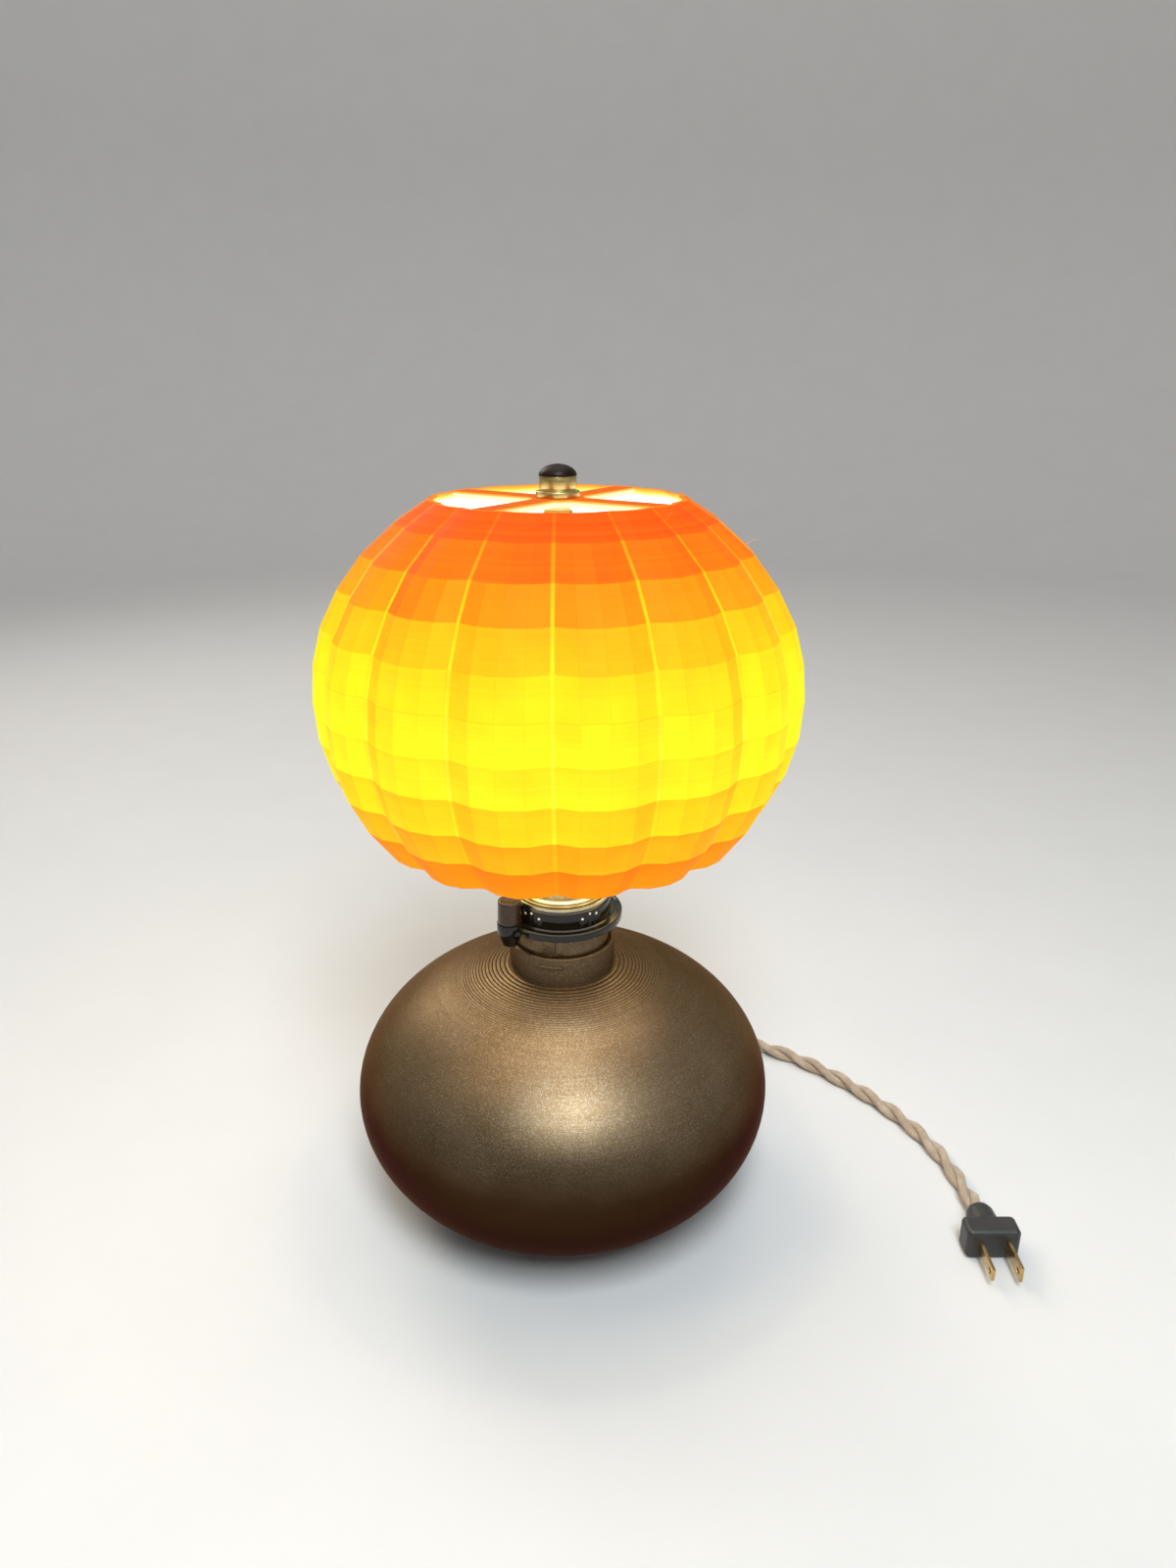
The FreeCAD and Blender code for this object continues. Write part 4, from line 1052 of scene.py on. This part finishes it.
def build_base():
    window = (WINDOW_AZ - WINDOW_HALF_AZ, WINDOW_AZ + WINDOW_HALF_AZ)
    edges = [azimuth % 360 for azimuth in window]
    azimuths = [a for a in np.arange(0, 360, 3.6)
                if min(abs((a - edge + 180) % 360 - 180) for edge in edges) > 0.6]
    verts, faces = lathe(base_profile(), np.array(sorted(azimuths + edges)))
    points = np.array(verts)
    radii = np.hypot(points[:, 0], points[:, 1])
    kept, removed = [], []
    for face in faces:
        x, y, z = points[face].mean(0)
        azimuth = (math.degrees(math.atan2(x, -y)) + 180) % 360 - 180
        in_window = (window[0] < azimuth < window[1] and WINDOW_LOW < z < WINDOW_HIGH
                     and math.hypot(x, y) > 20)
        (removed if in_window else kept).append(face)

    # walls of the catch window, from the outer skin to the bore
    def spot(i):
        x, y, z = points[i]
        return round(math.atan2(x, -y), 5), round(z, 3)

    bore = {spot(i): i for i in range(len(points))
            if abs(radii[i] - NECK_BORE) < 1e-6 and points[i][2] > 130}
    borders = dict.fromkeys(pair for face in removed for pair in zip(face, face[1:] + face[:1]))
    for start, end in borders:
        if (end, start) not in borders and min(radii[start], radii[end]) > 23.5:
            kept.append((start, end, bore[spot(end)], bore[spot(start)]))
    return verts, kept


base = add_piece("base_body", build_base(), MATERIALS["bronze"], "lamp_body",
                 sharp=50)
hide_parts("base_shell")

# ------------------------------------------------------------------ felt pad
# (radius, z) of the slightly pillowed disc
FELT_PROFILE = (
    (0.0, 0.05), (20.0, 0.03), (38.5, 0.0), (40.2, 0.12), (40.8, 0.45),
    (41.0, 1.0), (40.9, 1.6), (40.5, 1.97), (38.0, BASE_FOOT_Z), (0.0, BASE_FOOT_Z),
)


def build_felt(edge_from=38.2, inset=0.25):
    """Disc with a soft, irregular edge."""
    verts, faces = lathe(FELT_PROFILE, even_azimuths(180))
    verts = np.array(verts)
    x, y, z = verts.T
    angle = np.arctan2(x, -y)
    wobble = (0.16 * np.sin(17 * angle + 3 * z) + 0.12 * np.sin(43 * angle + 1.3)
              + 0.10 * np.sin(89 * angle + 5 * z))
    shift = np.where(np.hypot(x, y) > edge_from, wobble - inset, 0.0)
    verts[:, 0] += np.sin(angle) * shift
    verts[:, 1] -= np.cos(angle) * shift
    return verts, faces


felt_pad = add_piece("felt_disc", build_felt(), MATERIALS["felt"], "lamp_body", sharp=60)
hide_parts("felt_pad")

# ------------------------------------------------------------------ twisted jute cord
CORD_EXIT_AZ, CORD_EXIT_Z = 150.0, 26.0
# where the cord runs after leaving the base: round the right side, then forwards to the plug
CORD_PATH = (
    (62, 101, 6.0), (88, 112, 4.35), (121, 103, 4.2), (158, 72, 4.15), (185, 34, 4.2),
    (197, 2, 4.35), (200, -22, 5.4), (200, -38, 8.0),
)
CORD_STEP = 0.75
STRAND_OFFSET, STRAND_RADIUS, STRAND_PITCH = 1.92, 2.02, 38.0
STRAND_SIDES = 20
FIBRES_PER_STRAND, FIBRE_RADIUS = 900, 0.045
FIBRES_FROM = 34            # distance along the cord where loose fibres begin
FIBRE_UP = (0.3, 0.2, 1)
CORD_LOWEST = 0.06


def cord_centre():
    out, _ = bearing(CORD_EXIT_AZ)
    radius = body_radius(CORD_EXIT_Z)
    slope = unit(np.array([radius / BASE_RADIUS**2,
                           (CORD_EXIT_Z - BASE_CENTRE_Z) / BASE_HALF_HEIGHT**2]))
    normal = unit(out * slope[0] + np.array([0, 0, slope[1]]))
    hole = out * radius + np.array([0, 0, CORD_EXIT_Z])
    start = [hole + normal * distance for distance in (-26, -10, 0, 9)]
    return smooth_curve([*start, *CORD_PATH], normal, np.array([0, -1.0, 0]), CORD_STEP)


def loose_fibre(draw, strand, tangents, across, beside, first):
    """One fibre standing off a strand, or None where it would not fit."""
    i = draw.randrange(first, len(strand) - 8)
    angle = draw.uniform(0, 2 * math.pi)
    out = math.cos(angle) * across[i] + math.sin(angle) * beside[i]
    root = strand[i] + out * (STRAND_RADIUS * 0.9)
    if root[2] + out[2] * 1.6 < 0.15:
        return None
    length = draw.uniform(0.9, 2.3)
    lean = draw.uniform(-1.2, 1.2)
    curl = draw.uniform(-0.5, 0.5)
    sideways = np.cross(tangents[i], out)
    curve = np.array([
        root + (out * (t * 0.62 - t * t * 0.16) + tangents[i] * lean * t * 0.7
                + sideways * curl * t * t) * length
        for t in (0, 0.35, 0.7, 1.0)])
    too_far = np.linalg.norm(curve[-1] - strand[i]) > STRAND_RADIUS + 1.9
    if too_far or curve[:, 2].min() < 0.2:
        return None
    headings = directions(curve)
    if abs((headings * np.array(FIBRE_UP)).sum(1)).max() > 1.03:
        return None     # too near the up direction that its section is laid out from
    shape = tube(curve, *carry(headings, FIBRE_UP), FIBRE_RADIUS, sides=3)
    return shape if signed_volume(*shape) > 0 else None


def build_cord():
    """Two strands wound round each other, their loose fibres, and the yarn attributes."""
    centre, tangents = cord_centre()
    across, beside = carry(tangents)
    steps = np.linalg.norm(np.diff(centre, axis=0), axis=1)
    distance = np.concatenate([[0], np.cumsum(steps)])
    first_fibre = int(FIBRES_FROM / distance[-1] * len(centre))
    angles = np.arange(STRAND_SIDES) * 2 * math.pi / STRAND_SIDES
    draw = random.Random(5)
    verts, faces, fibre_verts, fibre_faces = [], [], [], []
    yarn = {"along": [], "round": [], "strand": []}
    for k in range(2):
        phase = 2 * math.pi * distance / STRAND_PITCH + math.pi * k
        wobble = 0.10 * np.sin(distance * 0.9 + k * 2.1) + 0.07 * np.sin(distance * 2.3 + k)
        offset = STRAND_OFFSET + wobble * 0.5
        strand = (centre + (np.cos(phase) * offset)[:, None] * across
                  + (np.sin(phase) * offset)[:, None] * beside)
        headings = directions(strand)
        sections = carry(headings)
        # five plies and finer ridges that turn round the strand
        column = distance[:, None]
        twist = angles - column * 0.62
        radius = (STRAND_RADIUS * (1.0 + 0.055 * np.cos(5 * twist + k)
                                   + 0.02 * np.cos(11 * twist + column * 0.7))
                  + 0.05 * np.sin(column * 1.7 + k * 4))
        join(verts, faces, tube(strand, *sections, radius, STRAND_SIDES))
        for s in distance:
            for j in range(STRAND_SIDES):
                yarn["along"].append(s * 0.55)
                yarn["round"].append(j / STRAND_SIDES * 2 - s * 0.2)
                yarn["strand"].append(k * 7.0)
        for _ in range(FIBRES_PER_STRAND):
            fibre = loose_fibre(draw, strand, headings, *sections, first_fibre)
            if fibre:
                join(fibre_verts, fibre_faces, fibre)
    join(verts, faces, (fibre_verts, fibre_faces))
    count = len(fibre_verts)
    yarn["along"] += [0.3 * (i % 97) for i in range(count)]
    yarn["round"] += [0.9] * count
    yarn["strand"] += [3.0] * count
    verts = np.array(verts)
    verts[:, 2] = np.maximum(verts[:, 2], CORD_LOWEST)
    return (verts, faces), yarn


cord_shape, cord_yarn = build_cord()
cord = add_piece("cord_jute", cord_shape, MATERIALS["jute"], "lamp_body")
add_attributes(cord, "FLOAT", "POINT", cord_yarn)
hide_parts("power_cord")

# ------------------------------------------------------------------ studio, metres
SWEEP_SIDES = 96
COVE_START, COVE_RADIUS = 1.9, 0.9      # where the floor begins to curve up into the wall
WALL_RADIUS = COVE_START + COVE_RADIUS


def floor_material():
    mat = Shader("studio_floor")
    cloud = mat.noise(14.0, detail=5)
    fine = mat.noise(500.0)
    return mat.surface(color=mat.mix(cloud, (0.60, 0.59, 0.575), (0.64, 0.63, 0.615)),
                       rough=mat.span(fine, (0.2, 0.8), to=(0.55, 0.7)), spec=0.3,
                       normal=mat.bump(fine, strength=0.08, dist=0.0002))


def add_sweep():
    """Round floor that curves up into a wall on all sides."""
    path = [(0.6, 0.0), (1.3, 0.0), (COVE_START, 0.0)]
    path += [(COVE_START + COVE_RADIUS * math.sin(t), COVE_RADIUS - COVE_RADIUS * math.cos(t))
             for t in np.linspace(0.08, math.pi / 2, 18)]
    path += [(WALL_RADIUS, 2.0), (WALL_RADIUS, 3.6)]
    turns = [2 * math.pi * k / SWEEP_SIDES for k in range(SWEEP_SIDES)]
    verts = [(0.0, 0.0, 0.0)]
    verts += [(r * math.cos(turn), r * math.sin(turn), z) for r, z in path for turn in turns]
    after = [(k + 1) % SWEEP_SIDES for k in range(SWEEP_SIDES)]
    faces = [(0, 1 + k, 1 + after[k]) for k in range(SWEEP_SIDES)]
    for j in range(len(path) - 1):
        near = 1 + j * SWEEP_SIDES
        far = near + SWEEP_SIDES
        faces += [(near + k, far + k, far + after[k], near + after[k])
                  for k in range(SWEEP_SIDES)]
    mesh = bpy.data.meshes.new("studio_sweep")
    mesh.from_pydata(verts, [], faces)
    mesh.polygons.foreach_set("use_smooth", [True] * len(mesh.polygons))
    sweep = bpy.data.objects.new("studio_sweep", mesh)
    bpy.context.scene.collection.objects.link(sweep)
    mesh.materials.append(floor_material())


def area_light(name, place, aim, size, power, color, size_y=None):
    light = bpy.data.lights.new(name, "AREA")
    light.energy, light.size, light.color = power, size, color
    if size_y:
        light.shape, light.size_y = "RECTANGLE", size_y
    holder = bpy.data.objects.new(name, light)
    holder.location = place
    holder.rotation_euler = (Vector(aim) - Vector(place)).to_track_quat("-Z", "Y").to_euler()
    bpy.context.scene.collection.objects.link(holder)
    return light


def add_lights():
    base_front, lamp_middle = (0, -0.05, 0.10), (0, 0, 0.15)
    area_light("overhead_soft", (0.0, 1.0, 3.0), aim=(0, 0.9, 0), size=2.2, power=30.0,
               color=(1.0, 0.985, 0.96))
    area_light("key_soft", (0.12, -0.78, 1.22), aim=base_front, size=0.42, size_y=0.60,
               power=20.0, color=(0.84, 0.93, 1.0))
    area_light("gold_soft", (-0.56, -0.20, 1.15), aim=base_front, size=0.32, power=1.5,
               color=(1.0, 0.74, 0.36))
    area_light("fill_soft", (1.6, -0.9, 0.9), aim=lamp_middle, size=1.2, power=1.4,
               color=(0.95, 0.97, 1.0))
    rim = area_light("rim_soft", (-1.0, 1.3, 1.2), aim=lamp_middle, size=0.9, power=4.0,
                     color=(1.0, 0.93, 0.84))
    rim.spread = math.radians(100)


def add_world(color=(0.92, 0.94, 1.0, 1), strength=0.22):
    world = bpy.data.worlds.new("studio_world")
    world.use_nodes = True
    background = world.node_tree.nodes["Background"]
    background.inputs["Color"].default_value = color
    background.inputs["Strength"].default_value = strength
    bpy.context.scene.world = world


def add_camera(place=(0.0122, -0.457, 0.3886), tilt=69.1, lens=25.18):
    camera = bpy.data.cameras.new("camera")
    camera.sensor_width, camera.lens = 36.0, lens
    camera.clip_start, camera.clip_end = 0.01, 20.0
    holder = bpy.data.objects.new("camera", camera)
    holder.location = place
    holder.rotation_euler = (math.radians(tilt), 0, 0)
    bpy.context.scene.collection.objects.link(holder)
    bpy.context.scene.camera = holder


add_sweep()
add_lights()
add_world()
add_camera()
bpy.context.scene.view_settings.view_transform = "Standard"
